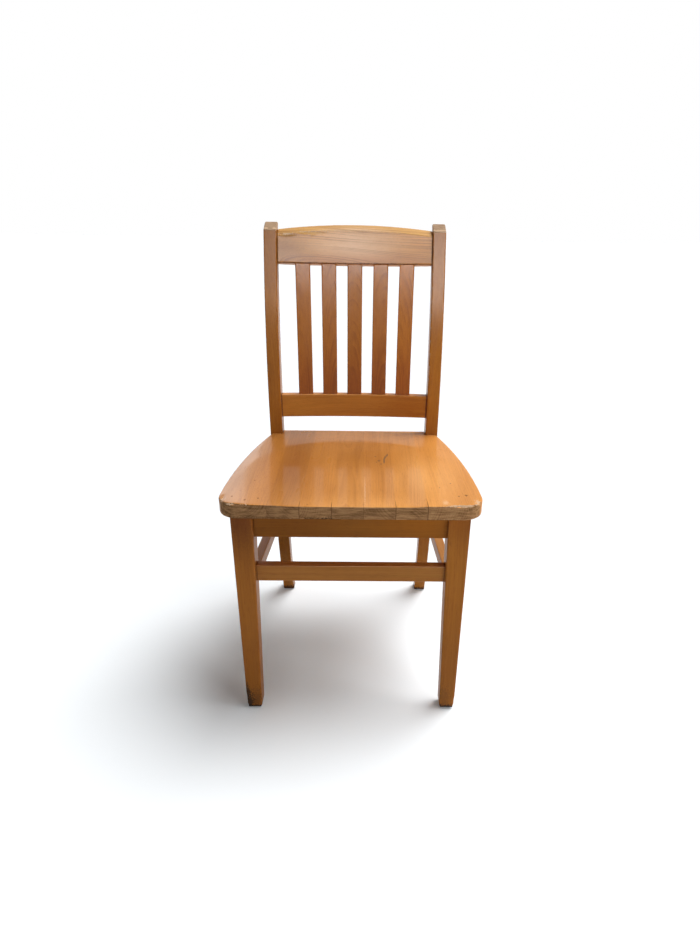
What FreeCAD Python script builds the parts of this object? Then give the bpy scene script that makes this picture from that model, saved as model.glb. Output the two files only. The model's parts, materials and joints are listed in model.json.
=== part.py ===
# Slat back chair in varnished hardwood, in millimetres.
# X runs across the chair, Y from front to back and Z up from the floor.
# The origin is on the floor, at the middle of the chair's width and depth.
import FreeCAD, Part
import math
import os
import re
import Sketcher

# Driving sizes: name, value and what it measures
DRIVING = [
    ("seat_height", 457, "floor to the top of the seat at its front edge"),
    ("seat_thickness", 28.5, "seat blank at its front edge"),
    ("seat_fall", 3, "fall of the seat's top from its front edge to its rear edge"),
    ("seat_width", 455, "widest part of the seat"),
    ("seat_corner", 38, "radius of the two front corners in plan"),
    ("seat_overhang", 11, "front edge of the seat before the front legs"),
    ("seat_rear_inset", 3, "rear corner of the seat inside the post's outer face"),
    ("seat_back_reach", 26, "rear edge of the seat behind the post's front face"),
    ("seat_edge", 3, "rounding of the seat's upper and lower edges"),
    ("dish_depth", 6, "depth of the hollow at its lowest point"),
    ("dish_side_rim", 12.5, "flat rim left beside the hollow"),
    ("dish_rear_rim", 67, "flat rim left behind the hollow"),
    ("dish_set", 101, "lowest point of the hollow behind the front edge"),
    ("stave_seam", -141, "first seam between staves, from the middle"),
    ("stave_pitch", 54.3, "seam to seam"),
    ("front_spread", 413, "across the outer faces of the front legs"),
    ("leg_size", 38, "front leg at the seat frame, square"),
    ("leg_foot", 29.5, "front leg at the floor, square"),
    ("leg_edge", 2.2, "rounding of the front legs' long edges"),
    ("foot_ease", 4, "bevel round the bottom of each front foot"),
    ("post_set", 367, "front leg's front face to rear post's front face"),
    ("post_spread", 372, "across the outer faces of the rear posts"),
    ("post_width", 27, "rear post, side to side"),
    ("post_depth", 34, "rear post, front to back at the seat"),
    ("post_edge", 2.2, "rounding of the rear posts' long edges"),
    ("post_foot_ease", 1.5, "bevel round the bottom of each rear foot"),
    ("post_top_ease", 1.5, "bevel round the top of each rear post"),
    ("bend_rise", 43, "seat's rim to where the post starts to curve back"),
    ("top_lean", 62, "front face at the top behind the face at the seat"),
    ("back_height", 409, "seat's rim to the post's front top edge"),
    ("top_rise", 14.5, "rise of the sloping top from front to back"),
    ("top_depth", 29, "depth of the post's top"),
    ("foot_kick", 70, "front face at the foot behind the face at the seat"),
    ("foot_depth", 28, "depth of the rear foot"),
    ("rail_height", 44, "seat rails, top to bottom"),
    ("rail_thick", 20, "seat rails, front to back"),
    ("rail_inset", 8, "front rail and stretcher behind the front leg's face"),
    ("rear_rail_inset", 5, "rear rail behind the rear post's front face"),
    ("rail_edge", 1.5, "rounding of rail and stretcher edges"),
    ("tenon_thick", 8, "tenons on rails"),
    ("tenon_height", 24, "tenons on seat rails, top to bottom"),
    ("tenon_drop", 5, "tenon above the bottom of its rail"),
    ("tenon_length", 14, "tenons on the front, rear and back rails"),
    ("side_tenon", 9, "tenons on the side rails"),
    ("glue_gap", 0.1, "room round a tenon or a screw"),
    ("mortise_spare", 1, "room past the end of a tenon"),
    ("front_stretcher_drop", 89.5, "front and rear stretchers' undersides below the seat rails'"),
    ("front_stretcher_height", 32, "front and rear stretchers, top to bottom"),
    ("front_stretcher_thick", 17, "front and rear stretchers, front to back"),
    ("side_stretcher_drop", 119.5, "side stretchers' undersides below the seat rails'"),
    ("side_stretcher_height", 25, "side stretchers, top to bottom"),
    ("side_stretcher_thick", 18, "side stretchers, side to side"),
    ("side_stretcher_shift", 2, "side stretchers inside the side rails' axes"),
    ("stretcher_sink", 14, "end of a stretcher inside its mortise"),
    ("back_inset", 5, "back rails behind the post's front face"),
    ("back_curve", 8, "hollow of the back rails in plan"),
    ("crest_gap", 348, "seat's rim to the crest rail's lower front edge"),
    ("crest_height", 54.4, "front face of the crest rail at its ends"),
    ("crest_arch", 4.8, "rise of the crest rail's arch before its hollow plan adds to it"),
    ("crest_thick", 18.5, "crest rail, front to back"),
    ("crest_slope", 43, "slope of the crest rail's top, in degrees from square"),
    ("lower_rail_gap", 34, "seat's rim to the lower back rail's lower front edge"),
    ("lower_rail_height", 49, "lower back rail, top to bottom"),
    ("lower_rail_thick", 20, "lower back rail, front to back"),
    ("back_tenon_margin", 9, "back rail above and below its tenon"),
    ("slat_width", 31, "slat, side to side"),
    ("slat_thick", 10.5, "slat, front to back"),
    ("slat_pitch", 52.8, "slat centre to slat centre"),
    ("slat_edge", 2.5, "rounding of the slats' long edges"),
    ("slat_tenon", 10, "slat end inside a back rail"),
    ("block_reach", 55, "corner block along a rail, past the leg"),
    ("block_height", 24, "corner block, top to bottom"),
    ("block_drop", 4, "corner block below the seat"),
    ("screw_shank", 2, "radius of a wood screw's shank"),
    ("screw_head", 4, "radius of a wood screw's countersunk head"),
    ("screw_head_height", 2.4, "countersunk head, top to bottom"),
    ("screw_point", 5, "length of a screw's point"),
    ("seat_screw_bite", 15, "seat screw inside the seat"),
    ("seat_screw_side", 33, "seat screw past the leg along the front or rear rail"),
    ("seat_screw_off", 12, "seat screw off the front or rear rail"),
    ("leg_screw_drop", 10, "leg screw below the seat"),
    ("leg_screw_length", 46, "leg screw, head to point"),
]

# Sizes worked out from the driving ones: name, formula and what it measures
WORKED_OUT = [
    ("seat_under", "seat_height - seat_thickness", "underside of the seat"),
    ("rail_low", "seat_under - rail_height", "underside of the seat rails"),
    ("front_stretcher_low", "rail_low - front_stretcher_drop", "underside of the front and rear stretchers"),
    ("side_stretcher_low", "rail_low - side_stretcher_drop", "underside of the side stretchers"),
    ("bend_height", "seat_height + bend_rise", "height where the post starts to curve back"),
    ("top_front", "seat_height + back_height", "height of the post's front top edge"),
    ("crest_low", "seat_height + crest_gap", "height of the crest rail's lower front edge"),
    ("lower_rail_low", "seat_height + lower_rail_gap", "height of the lower back rail's lower front edge"),
    ("half_front", "front_spread / 2", "outer face of a front leg"),
    ("half_post", "post_spread / 2", "outer face of a rear post"),
    ("half_seat", "seat_width / 2", "widest point of the seat"),
    ("leg_inner", "half_front - leg_size", "inner face of a front leg at the seat frame"),
    ("post_inner", "half_post - post_width", "inner face of a rear post"),
    ("back_kick", "foot_kick + foot_depth - post_depth", "sweep of the post's back face, foot"),
    ("back_lean", "top_lean + top_depth - post_depth", "sweep of the post's back face, top"),
    ("top_back", "top_front + top_rise", "height of the post's back top edge"),
    ("kick_bend", "(rail_low^2 + foot_kick^2) / (2 * foot_kick)", "radius, lower front face"),
    ("kick_back_bend", "(rail_low^2 + back_kick^2) / (2 * back_kick)", "radius, lower back face"),
    ("lean_bend", "((top_front - bend_height)^2 + top_lean^2) / (2 * top_lean)", "radius, upper front face"),
    ("lean_back_bend", "((top_back - bend_height)^2 + back_lean^2) / (2 * back_lean)", "radius, upper back"),
    ("foot_back", "post_depth + kick_back_bend - sqrt(kick_back_bend^2 - (rail_low - post_foot_ease)^2)",
     "rearmost point of a foot, above its bevel"),
    ("rear_reach", "max(foot_back; top_lean + top_depth)", "rearmost point behind the post's face"),
    ("leg_face", "seat_overhang - (seat_overhang + post_set + rear_reach) / 2", "Y of the front legs' faces"),
    ("seat_face", "leg_face - seat_overhang", "Y of the seat's front edge"),
    ("post_face", "leg_face + post_set", "Y of the rear posts' faces at the seat"),
    ("seat_back", "post_face + seat_back_reach", "Y of the seat's rear edge"),
    ("seat_run", "seat_back - seat_face", "depth of the seat"),
    ("seat_slope", "seat_fall / seat_run", "slope of the seat's top"),
    ("seat_rear_half", "half_post - seat_rear_inset", "half width of the seat at the posts"),
    ("seat_side_run", "post_face - seat_face - seat_corner", "length of the seat's curved side"),
    ("seat_side_fall", "half_seat - seat_rear_half", "how far the side curves in"),
    ("seat_side_bend", "(seat_side_run^2 + seat_side_fall^2) / (2 * seat_side_fall)", "radius of the side"),
    ("dish_half", "half_seat - dish_side_rim", "half width of the hollow"),
    ("dish_middle", "seat_face + dish_set", "Y of the hollow's lowest point"),
    ("dish_run", "seat_back - dish_rear_rim - dish_middle", "hollow behind its lowest point"),
    ("dish_bend", "(dish_half^2 + dish_depth^2) / (2 * dish_depth)", "radius of the hollow across"),
    ("dish_sweep", "(dish_run^2 + dish_depth^2) / (2 * dish_depth)", "radius of the hollow lengthways"),
    ("dish_lift", "(dish_sweep - dish_depth) / sqrt(1 + seat_slope^2)", "its centre above the hollow's rim"),
    ("dish_axis", "seat_thickness - dish_set * seat_slope + dish_lift", "its centre above the underside"),
    ("dish_axis_y", "dish_middle + dish_lift * seat_slope", "Y of its centre"),
    ("dish_rim", "dish_axis - dish_sweep + dish_depth", "level of the hollow's sides below its centre"),
    ("dish_turn", "4 * asin((dish_run + dish_set) / dish_sweep)", "turn that reaches well past the seat"),
    ("leg_middle", "half_front - leg_size / 2", "X of the side rail's axis at the front leg"),
    ("post_middle", "half_post - post_width / 2", "X of the side rail's axis at the rear post"),
    ("side_front", "leg_face + leg_size", "Y of the front leg's back face"),
    ("side_slope", "(leg_middle - post_middle) / (post_face - side_front)", "how the sides close in"),
    ("side_half", "rail_thick / 2 * sqrt(1 + side_slope^2)", "half a side rail's thickness along X"),
    ("front_rail_y", "leg_face + rail_inset", "Y of the front rail's and stretcher's faces"),
    ("front_rail_back", "front_rail_y + rail_thick", "Y of the front rail's inner face"),
    ("rear_rail_front", "post_face + rear_rail_inset", "Y of the rear rail's inner face"),
    ("taper", "(leg_size - leg_foot) / rail_low", "taper of a front leg's inner faces"),
    ("side_stretcher_middle", "side_stretcher_low + side_stretcher_height / 2", "height of its axis"),
    ("front_stretcher_middle", "front_stretcher_low + front_stretcher_height / 2", "height of its axis"),
    ("leg_at_side", "leg_foot + taper * side_stretcher_middle", "front leg's size at the side stretcher"),
    ("leg_at_front", "leg_foot + taper * front_stretcher_middle", "front leg's size at the front stretcher"),
    ("kick_at_side", "kick_bend - sqrt(kick_bend^2 - (rail_low - side_stretcher_middle)^2)",
     "post's sweep at the side stretcher"),
    ("kick_at_rear", "kick_bend - sqrt(kick_bend^2 - (rail_low - front_stretcher_middle)^2)",
     "post's sweep at the rear stretcher"),
    ("front_stretcher_half", "half_front - leg_at_front + stretcher_sink", "half the front stretcher"),
    ("rear_stretcher_half", "post_inner + stretcher_sink", "half the rear stretcher"),
    ("rear_stretcher_y", "post_face + kick_at_rear + rail_inset", "Y of the rear stretcher's face"),
    ("stretcher_start", "leg_face + leg_at_side - stretcher_sink", "Y of the side stretcher's front end"),
    ("stretcher_end", "post_face + kick_at_side + stretcher_sink", "Y of the side stretcher's rear end"),
    ("stretcher_half", "side_stretcher_thick / 2 * sqrt(1 + side_slope^2)", "half its thickness along X"),
    ("back_bend", "(post_inner^2 + back_curve^2) / (2 * back_curve)", "radius of the back rails in plan"),
    ("crest_top", "crest_low + crest_height", "height where the crest's lean is taken"),
    ("lean_crest_low", "lean_bend - sqrt(lean_bend^2 - (crest_low - bend_height)^2)", "post's lean there"),
    ("lean_crest_top", "lean_bend - sqrt(lean_bend^2 - (crest_top - bend_height)^2)", "post's lean there"),
    ("crest_tilt", "atan((lean_crest_top - lean_crest_low) / crest_height)", "backward tilt of the crest"),
    ("crest_y", "post_face + back_inset + lean_crest_low", "Y of the crest's lower front edge"),
    ("arch_end", "crest_height * cos(crest_slope)", "end of the arch, on its sloping plane"),
    ("arch_rise", "crest_arch * cos(crest_slope)", "its rise there"),
    ("arch_bend", "(post_inner^2 + arch_rise^2) / (2 * arch_rise)", "its radius there"),
    ("crest_blank", "crest_height + 2 * crest_arch + (crest_thick + back_curve) * tan(crest_slope)",
     "height of the crest before its arch is cut"),
    ("crest_tenon", "crest_height - 2 * back_tenon_margin", "height of the crest's tenons"),
    ("lower_rail_top", "lower_rail_low + lower_rail_height", "top of the lower back rail"),
    ("lean_rail_top", "lean_bend - sqrt(lean_bend^2 - max(0; lower_rail_top - bend_height)^2)", "lean there"),
    ("lower_tilt", "atan(lean_rail_top / lower_rail_height)", "backward tilt of the lower rail"),
    ("lower_y", "post_face + back_inset", "Y of the lower rail's lower front edge"),
    ("lower_tenon", "lower_rail_height - 2 * back_tenon_margin", "height of the lower rail's tenons"),
    ("slat_foot_y", "lower_y + lean_rail_top + lower_rail_thick / 2 + back_curve", "slat's middle, low end"),
    ("slat_head_y", "crest_y + (crest_thick / 2 + back_curve) * cos(crest_tilt)", "slat's middle, high end"),
    ("slat_foot_z", "lower_rail_top - (lower_rail_thick / 2 + back_curve) * sin(lower_tilt)",
     "slat's low end"),
    ("slat_head_z", "crest_low - (crest_thick / 2 + back_curve) * sin(crest_tilt)", "slat's high end"),
    ("slat_tilt", "atan((slat_head_y - slat_foot_y) / (slat_head_z - slat_foot_z))", "slat's lean"),
    ("slat_length", "(slat_head_z - slat_foot_z) / cos(slat_tilt)", "slat between its tenons"),
    ("block_low", "seat_under - block_drop - block_height", "underside of the corner blocks"),
    ("seat_screw_length", "block_height + block_drop + seat_screw_bite", "seat screw, head to point"),
    ("leg_screw_z", "seat_under - leg_screw_drop", "height of the leg screws"),
]

STAVES = 7
SLATS = 5
# Longer than any piece of the chair, for cutting right through
FAR = 2000
# Lengths and volumes below this count as nothing
TINY = 0.01

doc = FreeCAD.newDocument("slat_back_chair")
sizes = doc.addObject("Spreadsheet::Sheet", "sizes")
for row, (alias, amount, note) in enumerate(DRIVING + WORKED_OUT, start=1):
    sizes.set(f"A{row}", note)
    sizes.set(f"B{row}", f"={amount}" if isinstance(amount, str) else str(amount))
    sizes.setAlias(f"B{row}", alias)
doc.recompute()
ALIASES = {alias for alias, _, _ in DRIVING + WORKED_OUT}


def named(expression):
    """Point each size's name in an expression at the sheet."""
    def with_sheet(word):
        return f"sizes.{word[0]}" if word[0] in ALIASES else word[0]

    return re.sub(r"[a-z_]\w*", with_sheet, expression)


def number_of(expression):
    """The present value of an expression in the sheet's names."""
    result = sizes.evalExpression(named(expression))
    return float(getattr(result, "Value", result))


def bind(thing, **properties):
    """Tie properties of an object to the sheet."""
    for name, expression in properties.items():
        thing.setExpression(name, named(expression))


def place(thing, x="0", y="0", z="0", turn="0", swing="0", tilt="0"):
    """Stand an object at a point, tilted about X, swung about Y and turned about Z."""
    spot = f"vector({x}; {y}; {z})"
    thing.setExpression("Placement", named(f"placement({spot}; rotation({turn}; {swing}; {tilt}))"))


def arc_between(start, end, radius, centre_side):
    """The shorter arc between two points; +1 puts its centre to the left of the way from start to end."""
    chord = end - start
    left = FreeCAD.Vector(-chord.y, chord.x, 0).normalize()
    depth = math.sqrt(radius ** 2 - (chord.Length / 2) ** 2)
    centre = start + chord * 0.5 + left * (depth * centre_side)
    first, last = (start, end) if centre_side > 0 else (end, start)
    angles = [math.atan2(point.y - centre.y, point.x - centre.x) for point in (first, last)]
    return Part.ArcOfCircle(Part.Circle(centre, FreeCAD.Vector(0, 0, 1), radius), *angles)


def set_point(sketch, side, end, x, y):
    """Hold one end of a side of a sketch at a point that the sheet gives."""
    for kind, expression in (("DistanceX", x), ("DistanceY", y)):
        index = sketch.addConstraint(Sketcher.Constraint(kind, -1, 1, side, end, number_of(expression)))
        sketch.setExpression(f"Constraints[{index}]", named(expression))


def outline(body, name, plane, corners, rounds=None):
    """A closed sketch on one of the body's planes; rounds gives a side's radius and centre side."""
    rounds = rounds or {}
    sketch = body.newObject("Sketcher::SketchObject", name)
    support = next(feature for feature in body.Origin.OriginFeatures if feature.Role == plane)
    sketch.AttachmentSupport = [(support, "")]
    sketch.MapMode = "FlatFace"
    points = [FreeCAD.Vector(number_of(x), number_of(y), 0) for x, y in corners]
    starts = []
    for side, start in enumerate(points):
        end = points[(side + 1) % len(points)]
        starts.append(2 if side in rounds and rounds[side][1] < 0 else 1)
        if side in rounds:
            radius, centre_side = rounds[side]
            sketch.addGeometry(arc_between(start, end, number_of(radius), centre_side))
        else:
            sketch.addGeometry(Part.LineSegment(start, end))
    for side, start in enumerate(starts):
        following = (side + 1) % len(points)
        sketch.addConstraint(Sketcher.Constraint("Coincident", side, 3 - start, following, starts[following]))
    for side, (x, y) in enumerate(corners):
        set_point(sketch, side, starts[side], x, y)
    for side, (radius, _) in rounds.items():
        index = sketch.addConstraint(Sketcher.Constraint("Radius", side, number_of(radius)))
        sketch.setExpression(f"Constraints[{index}]", named(radius))
    return sketch


def rectangle(x_low, x_high, y_low, y_high):
    """The corners of a rectangle."""
    return [(x_low, y_low), (x_high, y_low), (x_high, y_high), (x_low, y_high)]


def pad(body, sketch, length, backwards=False):
    """Thicken a sketch into a solid."""
    feature = body.newObject("PartDesign::Pad", f"{sketch.Name}_pad")
    feature.Profile = sketch
    feature.Reversed = backwards
    bind(feature, Length=length)
    doc.recompute()


def cut_through(body, sketch):
    """Cut a sketch right through the body, both ways."""
    before = body.Shape.Volume
    feature = body.newObject("PartDesign::Pocket", f"{sketch.Name}_cut")
    feature.Profile = sketch
    feature.SideType = "Symmetric"
    feature.Length = FAR
    doc.recompute()
    assert body.Shape.Volume < before - TINY, f"{sketch.Name} cut nothing"


def ease(body, name, radius, wanted, kind="Fillet"):
    """Round, or bevel, the edges of a body whose boxes are wanted."""
    base = body.Tip
    edges = [f"Edge{index}" for index, edge in enumerate(base.Shape.Edges, start=1) if wanted(edge.BoundBox)]
    feature = body.newObject(f"PartDesign::{kind}", name)
    feature.Base = (base, edges)
    bind(feature, **{"Radius" if kind == "Fillet" else "Size": radius})
    doc.recompute()


def bar(name, plan, low, height, **spot):
    """A straight piece: its plan, the level where it starts and its height, in a placed frame."""
    body = doc.addObject("PartDesign::Body", name)
    sketch = outline(body, f"{name}_plan", "XY_Plane", plan)
    sketch.setExpression("AttachmentOffset.Base.z", named(low))
    pad(body, sketch, height)
    place(body, **spot)
    return body


def minus(label, base, tools):
    """A piece with its mortises and holes cut."""
    cuts = doc.addObject("Part::Compound", f"{label}_cuts")
    cuts.Links = tools
    piece = doc.addObject("Part::Cut", label)
    piece.Base = base
    piece.Tool = cuts
    return piece


def plus(label, pieces):
    """Shapes that are one piece of wood, such as a rail and its tenons."""
    piece = doc.addObject("Part::MultiFuse", label)
    piece.Shapes = pieces
    piece.Refine = True
    return piece


def mirrored(source, label):
    """The same piece for the other side of the chair."""
    piece = doc.addObject("Part::Mirroring", label)
    piece.Source = source
    piece.Normal = (1, 0, 0)
    return piece


def end_tenons(name, end, thick, low, height, **spot):
    """Both tenons of a cross rail, and the mortise for the left one."""
    sides = (f"({thick} - tenon_thick) / 2", f"({thick} + tenon_thick) / 2")
    room = (f"{sides[0]} - glue_gap", f"{sides[1]} + glue_gap")
    tip = f"{end} + tenon_length"
    left = bar(f"{name}_tenon_left", rectangle(f"-({tip})", f"-{end}", *sides), low, height, **spot)
    right = bar(f"{name}_tenon_right", rectangle(end, tip, *sides), low, height, **spot)
    plan = rectangle(f"-({tip} + mortise_spare)", f"-{end}", *room)
    mortise = bar(f"{name}_mortise", plan, f"{low} - glue_gap", f"{height} + 2 * glue_gap", **spot)
    return [left, right], mortise


# Front leg: square, its two inner faces tapering below the seat rails to a bevelled foot
def rounded_square(body, name, low, high, level):
    """A square section with round corners, standing at a level of the leg."""
    inside_low, inside_high = f"{low} + leg_edge", f"{high} - leg_edge"
    corners = [
        (inside_low, low),
        (inside_high, low),
        (high, inside_low),
        (high, inside_high),
        (inside_high, high),
        (inside_low, high),
        (low, inside_high),
        (low, inside_low),
    ]
    rounds = {side: ("leg_edge", 1) for side in (1, 3, 5, 7)}
    sketch = outline(body, name, "XY_Plane", corners, rounds)
    sketch.setExpression("AttachmentOffset.Base.z", named(level))
    return sketch


def front_leg_blank():
    body = doc.addObject("PartDesign::Body", "front_leg_blank")
    sections = [
        rounded_square(body, "leg_sole", "foot_ease", "leg_foot - foot_ease", "0"),
        rounded_square(body, "leg_bevel", "0", "leg_foot", "foot_ease"),
        rounded_square(body, "leg_taper_start", "0", "leg_size", "rail_low"),
        rounded_square(body, "leg_top", "0", "leg_size", "seat_under"),
    ]
    loft = body.newObject("PartDesign::AdditiveLoft", "leg_shape")
    loft.Profile = sections[0]
    loft.Sections = sections[1:]
    loft.Ruled = True
    doc.recompute()
    place(body, "-half_front", "leg_face")
    return body


# Rear post: one sweep from the foot, past the seat, to a top that slopes to the front
def rear_post_blank():
    body = doc.addObject("PartDesign::Body", "rear_post_blank")
    sweep = [
        ("foot_kick", "0"),
        ("foot_kick + foot_depth", "0"),
        ("post_depth", "rail_low"),
        ("post_depth", "bend_height"),
        ("top_lean + top_depth", "top_back"),
        ("top_lean", "top_front"),
        ("0", "bend_height"),
        ("0", "rail_low"),
    ]
    bends = {
        1: ("kick_back_bend", -1),
        3: ("lean_back_bend", -1),
        5: ("lean_bend", 1),
        7: ("kick_bend", 1),
    }
    pad(body, outline(body, "post_side_view", "YZ_Plane", sweep, bends), "post_width")
    slope, top = number_of("top_rise") + TINY, number_of("top_front") - TINY
    ease(body, "post_long_edges", "post_edge", lambda box: box.ZLength > slope)
    ease(body, "post_foot_bevel", "post_foot_ease", lambda box: box.ZMax < TINY, kind="Chamfer")
    ease(body, "post_top_bevel", "post_top_ease", lambda box: box.ZMin > top, kind="Chamfer")
    place(body, "-half_post", "post_face")
    return body


# Cross rails and stretchers: straight bars between the two sides of the chair
def cross_bar(name, half, thick, height, y, low):
    body = bar(name, rectangle(f"-({half})", half, "0", thick), "0", height, y=y, z=low)
    ease(body, f"{name}_edges", "rail_edge", lambda box: box.XLength > number_of(half))
    return body


def cross_room(name, half, inner, thick, height, y, low):
    """The mortise for the left end of a cross bar that goes in whole."""
    plan = rectangle(f"-({half} + mortise_spare)", f"-{inner}", "-glue_gap", f"{thick} + glue_gap")
    return bar(name, plan, "-glue_gap", f"{height} + 2 * glue_gap", y=y, z=low)


# Side rails and stretchers: bars that close in from the front legs to the rear posts
def side_x(y, across):
    """X of a line along a left side bar, this far towards the middle from the bar's axis."""
    return f"-(leg_middle - side_slope * ({y} - side_front)) + ({across})"


def side_plan(start, end, half, shift):
    """The plan of a left side bar between two Y values, shifted towards the middle."""
    return [
        (side_x(start, f"{shift} - ({half})"), start),
        (side_x(start, f"{shift} + {half}"), start),
        (side_x(end, f"{shift} + {half}"), end),
        (side_x(end, f"{shift} - ({half})"), end),
    ]


def side_bar(name, start, end, half, shift, height, low):
    body = bar(name, side_plan(start, end, half, shift), "0", height, z=low)
    ease(body, f"{name}_edges", "rail_edge", lambda box: box.YLength > number_of("post_set") / 2)
    return body


def side_room(name, half, shift, height, low):
    """Mortises for both ends of a left side stretcher, as one long bar."""
    ends = ("(stretcher_start - mortise_spare)", "(stretcher_end + mortise_spare)")
    plan = side_plan(*ends, f"{half} + glue_gap", shift)
    return bar(name, plan, "-glue_gap", f"{height} + 2 * glue_gap", z=low)


def side_tenon(name, middle, start, end, gap):
    """A tenon of a left side rail, or with a gap its mortise."""
    half = f"(tenon_thick / 2 + {gap})"
    plan = rectangle(f"-{middle} - {half}", f"-{middle} + {half}", start, end)
    return bar(name, plan, f"tenon_drop - {gap}", f"tenon_height + 2 * {gap}", z="rail_low")


# Back rails: hollowed in plan and tilted with the posts
def back_rail_blank(name, thick, height, **spot):
    body = doc.addObject("PartDesign::Body", name)
    plan = rectangle("-post_inner", "post_inner", "0", thick)
    bows = {0: ("back_bend", -1), 2: ("back_bend", 1)}
    pad(body, outline(body, f"{name}_plan", "XY_Plane", plan, bows), height)
    place(body, **spot)
    return body


def ease_long_edges(body):
    ease(body, f"{body.Name}_edges", "rail_edge", lambda box: box.XLength > number_of("post_inner"))


def arch_crest(body):
    """Cut the crest's top to an arch that slopes down to the front."""
    arch = rectangle("-post_inner", "post_inner", "arch_end", "crest_blank")
    sketch = outline(body, "crest_arch_view", "XZ_Plane", arch, {0: ("arch_bend", -1)})
    sketch.setExpression("AttachmentOffset", named("placement(vector(0; 0; 0); rotation(0; 0; crest_slope))"))
    cut_through(body, sketch)


# Slats: flat boards between the back rails, set round the rails' curve
def slat(name, index, grow, sink):
    """A slat, or grown by a gap the room that its two ends need."""
    x = f"({index - (SLATS - 1) / 2} * slat_pitch)"
    curve = f"(back_bend - sqrt(back_bend^2 - {x}^2))"
    half_x = f"(slat_width / 2 + {grow})"
    half_y = f"(slat_thick / 2 + {grow})"
    section = rectangle(f"-{half_x}", half_x, f"-{half_y}", half_y)
    return bar(
        name, section, f"-({sink})", f"slat_length + 2 * ({sink})",
        x=x, y=f"slat_foot_y - {curve}", z="slat_foot_z", turn=f"-asin({x} / back_bend)", tilt="-slat_tilt",
    )


def back_slat(index):
    body = slat(f"back_slat_{index + 1}", index, "0", "slat_tenon")
    ease(body, f"slat_{index + 1}_edges", "slat_edge", lambda box: box.ZLength > number_of("slat_length"))
    return body


# Seat: one dished panel, cut into the staves that it is glued up from
def seat_panel():
    body = doc.addObject("PartDesign::Body", "seat_panel")
    plan = [
        ("-(half_seat - seat_corner)", "seat_face"),
        ("half_seat - seat_corner", "seat_face"),
        ("half_seat", "seat_face + seat_corner"),
        ("seat_rear_half", "post_face"),
        ("post_inner", "post_face"),
        ("post_inner", "seat_back"),
        ("-post_inner", "seat_back"),
        ("-post_inner", "post_face"),
        ("-seat_rear_half", "post_face"),
        ("-half_seat", "seat_face + seat_corner"),
    ]
    corner, side = ("seat_corner", 1), ("seat_side_bend", 1)
    rounds = {1: corner, 2: side, 8: side, 9: corner}
    pad(body, outline(body, "seat_plan", "XY_Plane", plan, rounds), "seat_thickness")
    slope_top(body)
    notch, gap = number_of("post_face") - TINY, 2 * number_of("post_inner")
    fall = number_of("seat_fall") + TINY
    ease(body, "seat_rounding", "seat_edge",
         lambda box: box.ZLength < fall and (box.YMin < notch or box.XLength > gap - TINY))
    dish_seat(body)
    place(body, z="seat_under")
    return body


def slope_top(body):
    """Plane the seat's top so that it falls to the rear."""
    shaving = [
        ("seat_face", "seat_thickness"),
        ("seat_back + seat_edge", "seat_thickness - seat_slope * (seat_run + seat_edge)"),
        ("seat_back + seat_edge", "seat_thickness + seat_edge"),
        ("seat_face", "seat_thickness + seat_edge"),
    ]
    cut_through(body, outline(body, "seat_slope_view", "YZ_Plane", shaving))


def dish_seat(body):
    """Hollow the seat: an arc across it, swept lengthways round an axis high above."""
    hollow = rectangle("-dish_half", "dish_half", "dish_rim", "dish_rim + dish_depth")
    sketch = outline(body, "dish_view", "XZ_Plane", hollow, {0: ("dish_bend", 1)})
    sketch.setExpression("AttachmentOffset.Base.z", named("-dish_axis_y"))
    height = number_of("dish_axis")
    ends = ("-dish_half", "dish_half")
    points = [FreeCAD.Vector(number_of(x), height, 0) for x in ends]
    axis = sketch.addGeometry(Part.LineSegment(*points), True)
    for end, x in enumerate(ends, start=1):
        set_point(sketch, axis, end, x, "dish_axis")
    before = body.Shape.Volume
    groove = body.newObject("PartDesign::Groove", "dish")
    groove.Profile = sketch
    groove.ReferenceAxis = (sketch, ["Axis0"])
    groove.Midplane = True
    bind(groove, Angle="dish_turn")
    doc.recompute()
    assert body.Shape.Volume < before - TINY, "the dish cut nothing"


def seam(index):
    """X of a stave's edge; the outermost edges lie past the seat's sides."""
    if index == 0:
        return "-half_seat - seat_edge"
    if index == STAVES:
        return "half_seat + seat_edge"
    return f"stave_seam + {index - 1} * stave_pitch"


def seat_stave(panel, index):
    plan = rectangle(seam(index), seam(index + 1), "seat_face - seat_edge", "seat_back + seat_edge")
    height = "seat_thickness + 2 * seat_edge"
    slice_box = bar(f"stave_{index + 1}_slice", plan, "-seat_edge", height, z="seat_under")
    stave = doc.addObject("Part::Common", f"seat_stave_{index + 1}")
    stave.Base = panel
    stave.Tool = slice_box
    return stave


# Screws: countersunk wood screws, head at the start of their own Z axis
def screw(name, length, gap, **spot):
    """A screw, or with a gap the hole for it."""
    body = doc.addObject("PartDesign::Body", name)
    profile = [
        ("0", "0"),
        (f"screw_head + {gap}", "0"),
        (f"screw_shank + {gap}", f"screw_head_height + {gap}"),
        (f"screw_shank + {gap}", f"{length} - screw_point + {gap}"),
        ("0", f"{length} + {gap}"),
    ]
    turned = body.newObject("PartDesign::Revolution", f"{name}_turned")
    turned.Profile = outline(body, f"{name}_profile", "XZ_Plane", profile)
    turned.ReferenceAxis = (turned.Profile[0], ["V_Axis"])
    place(body, **spot)
    return body


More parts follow.
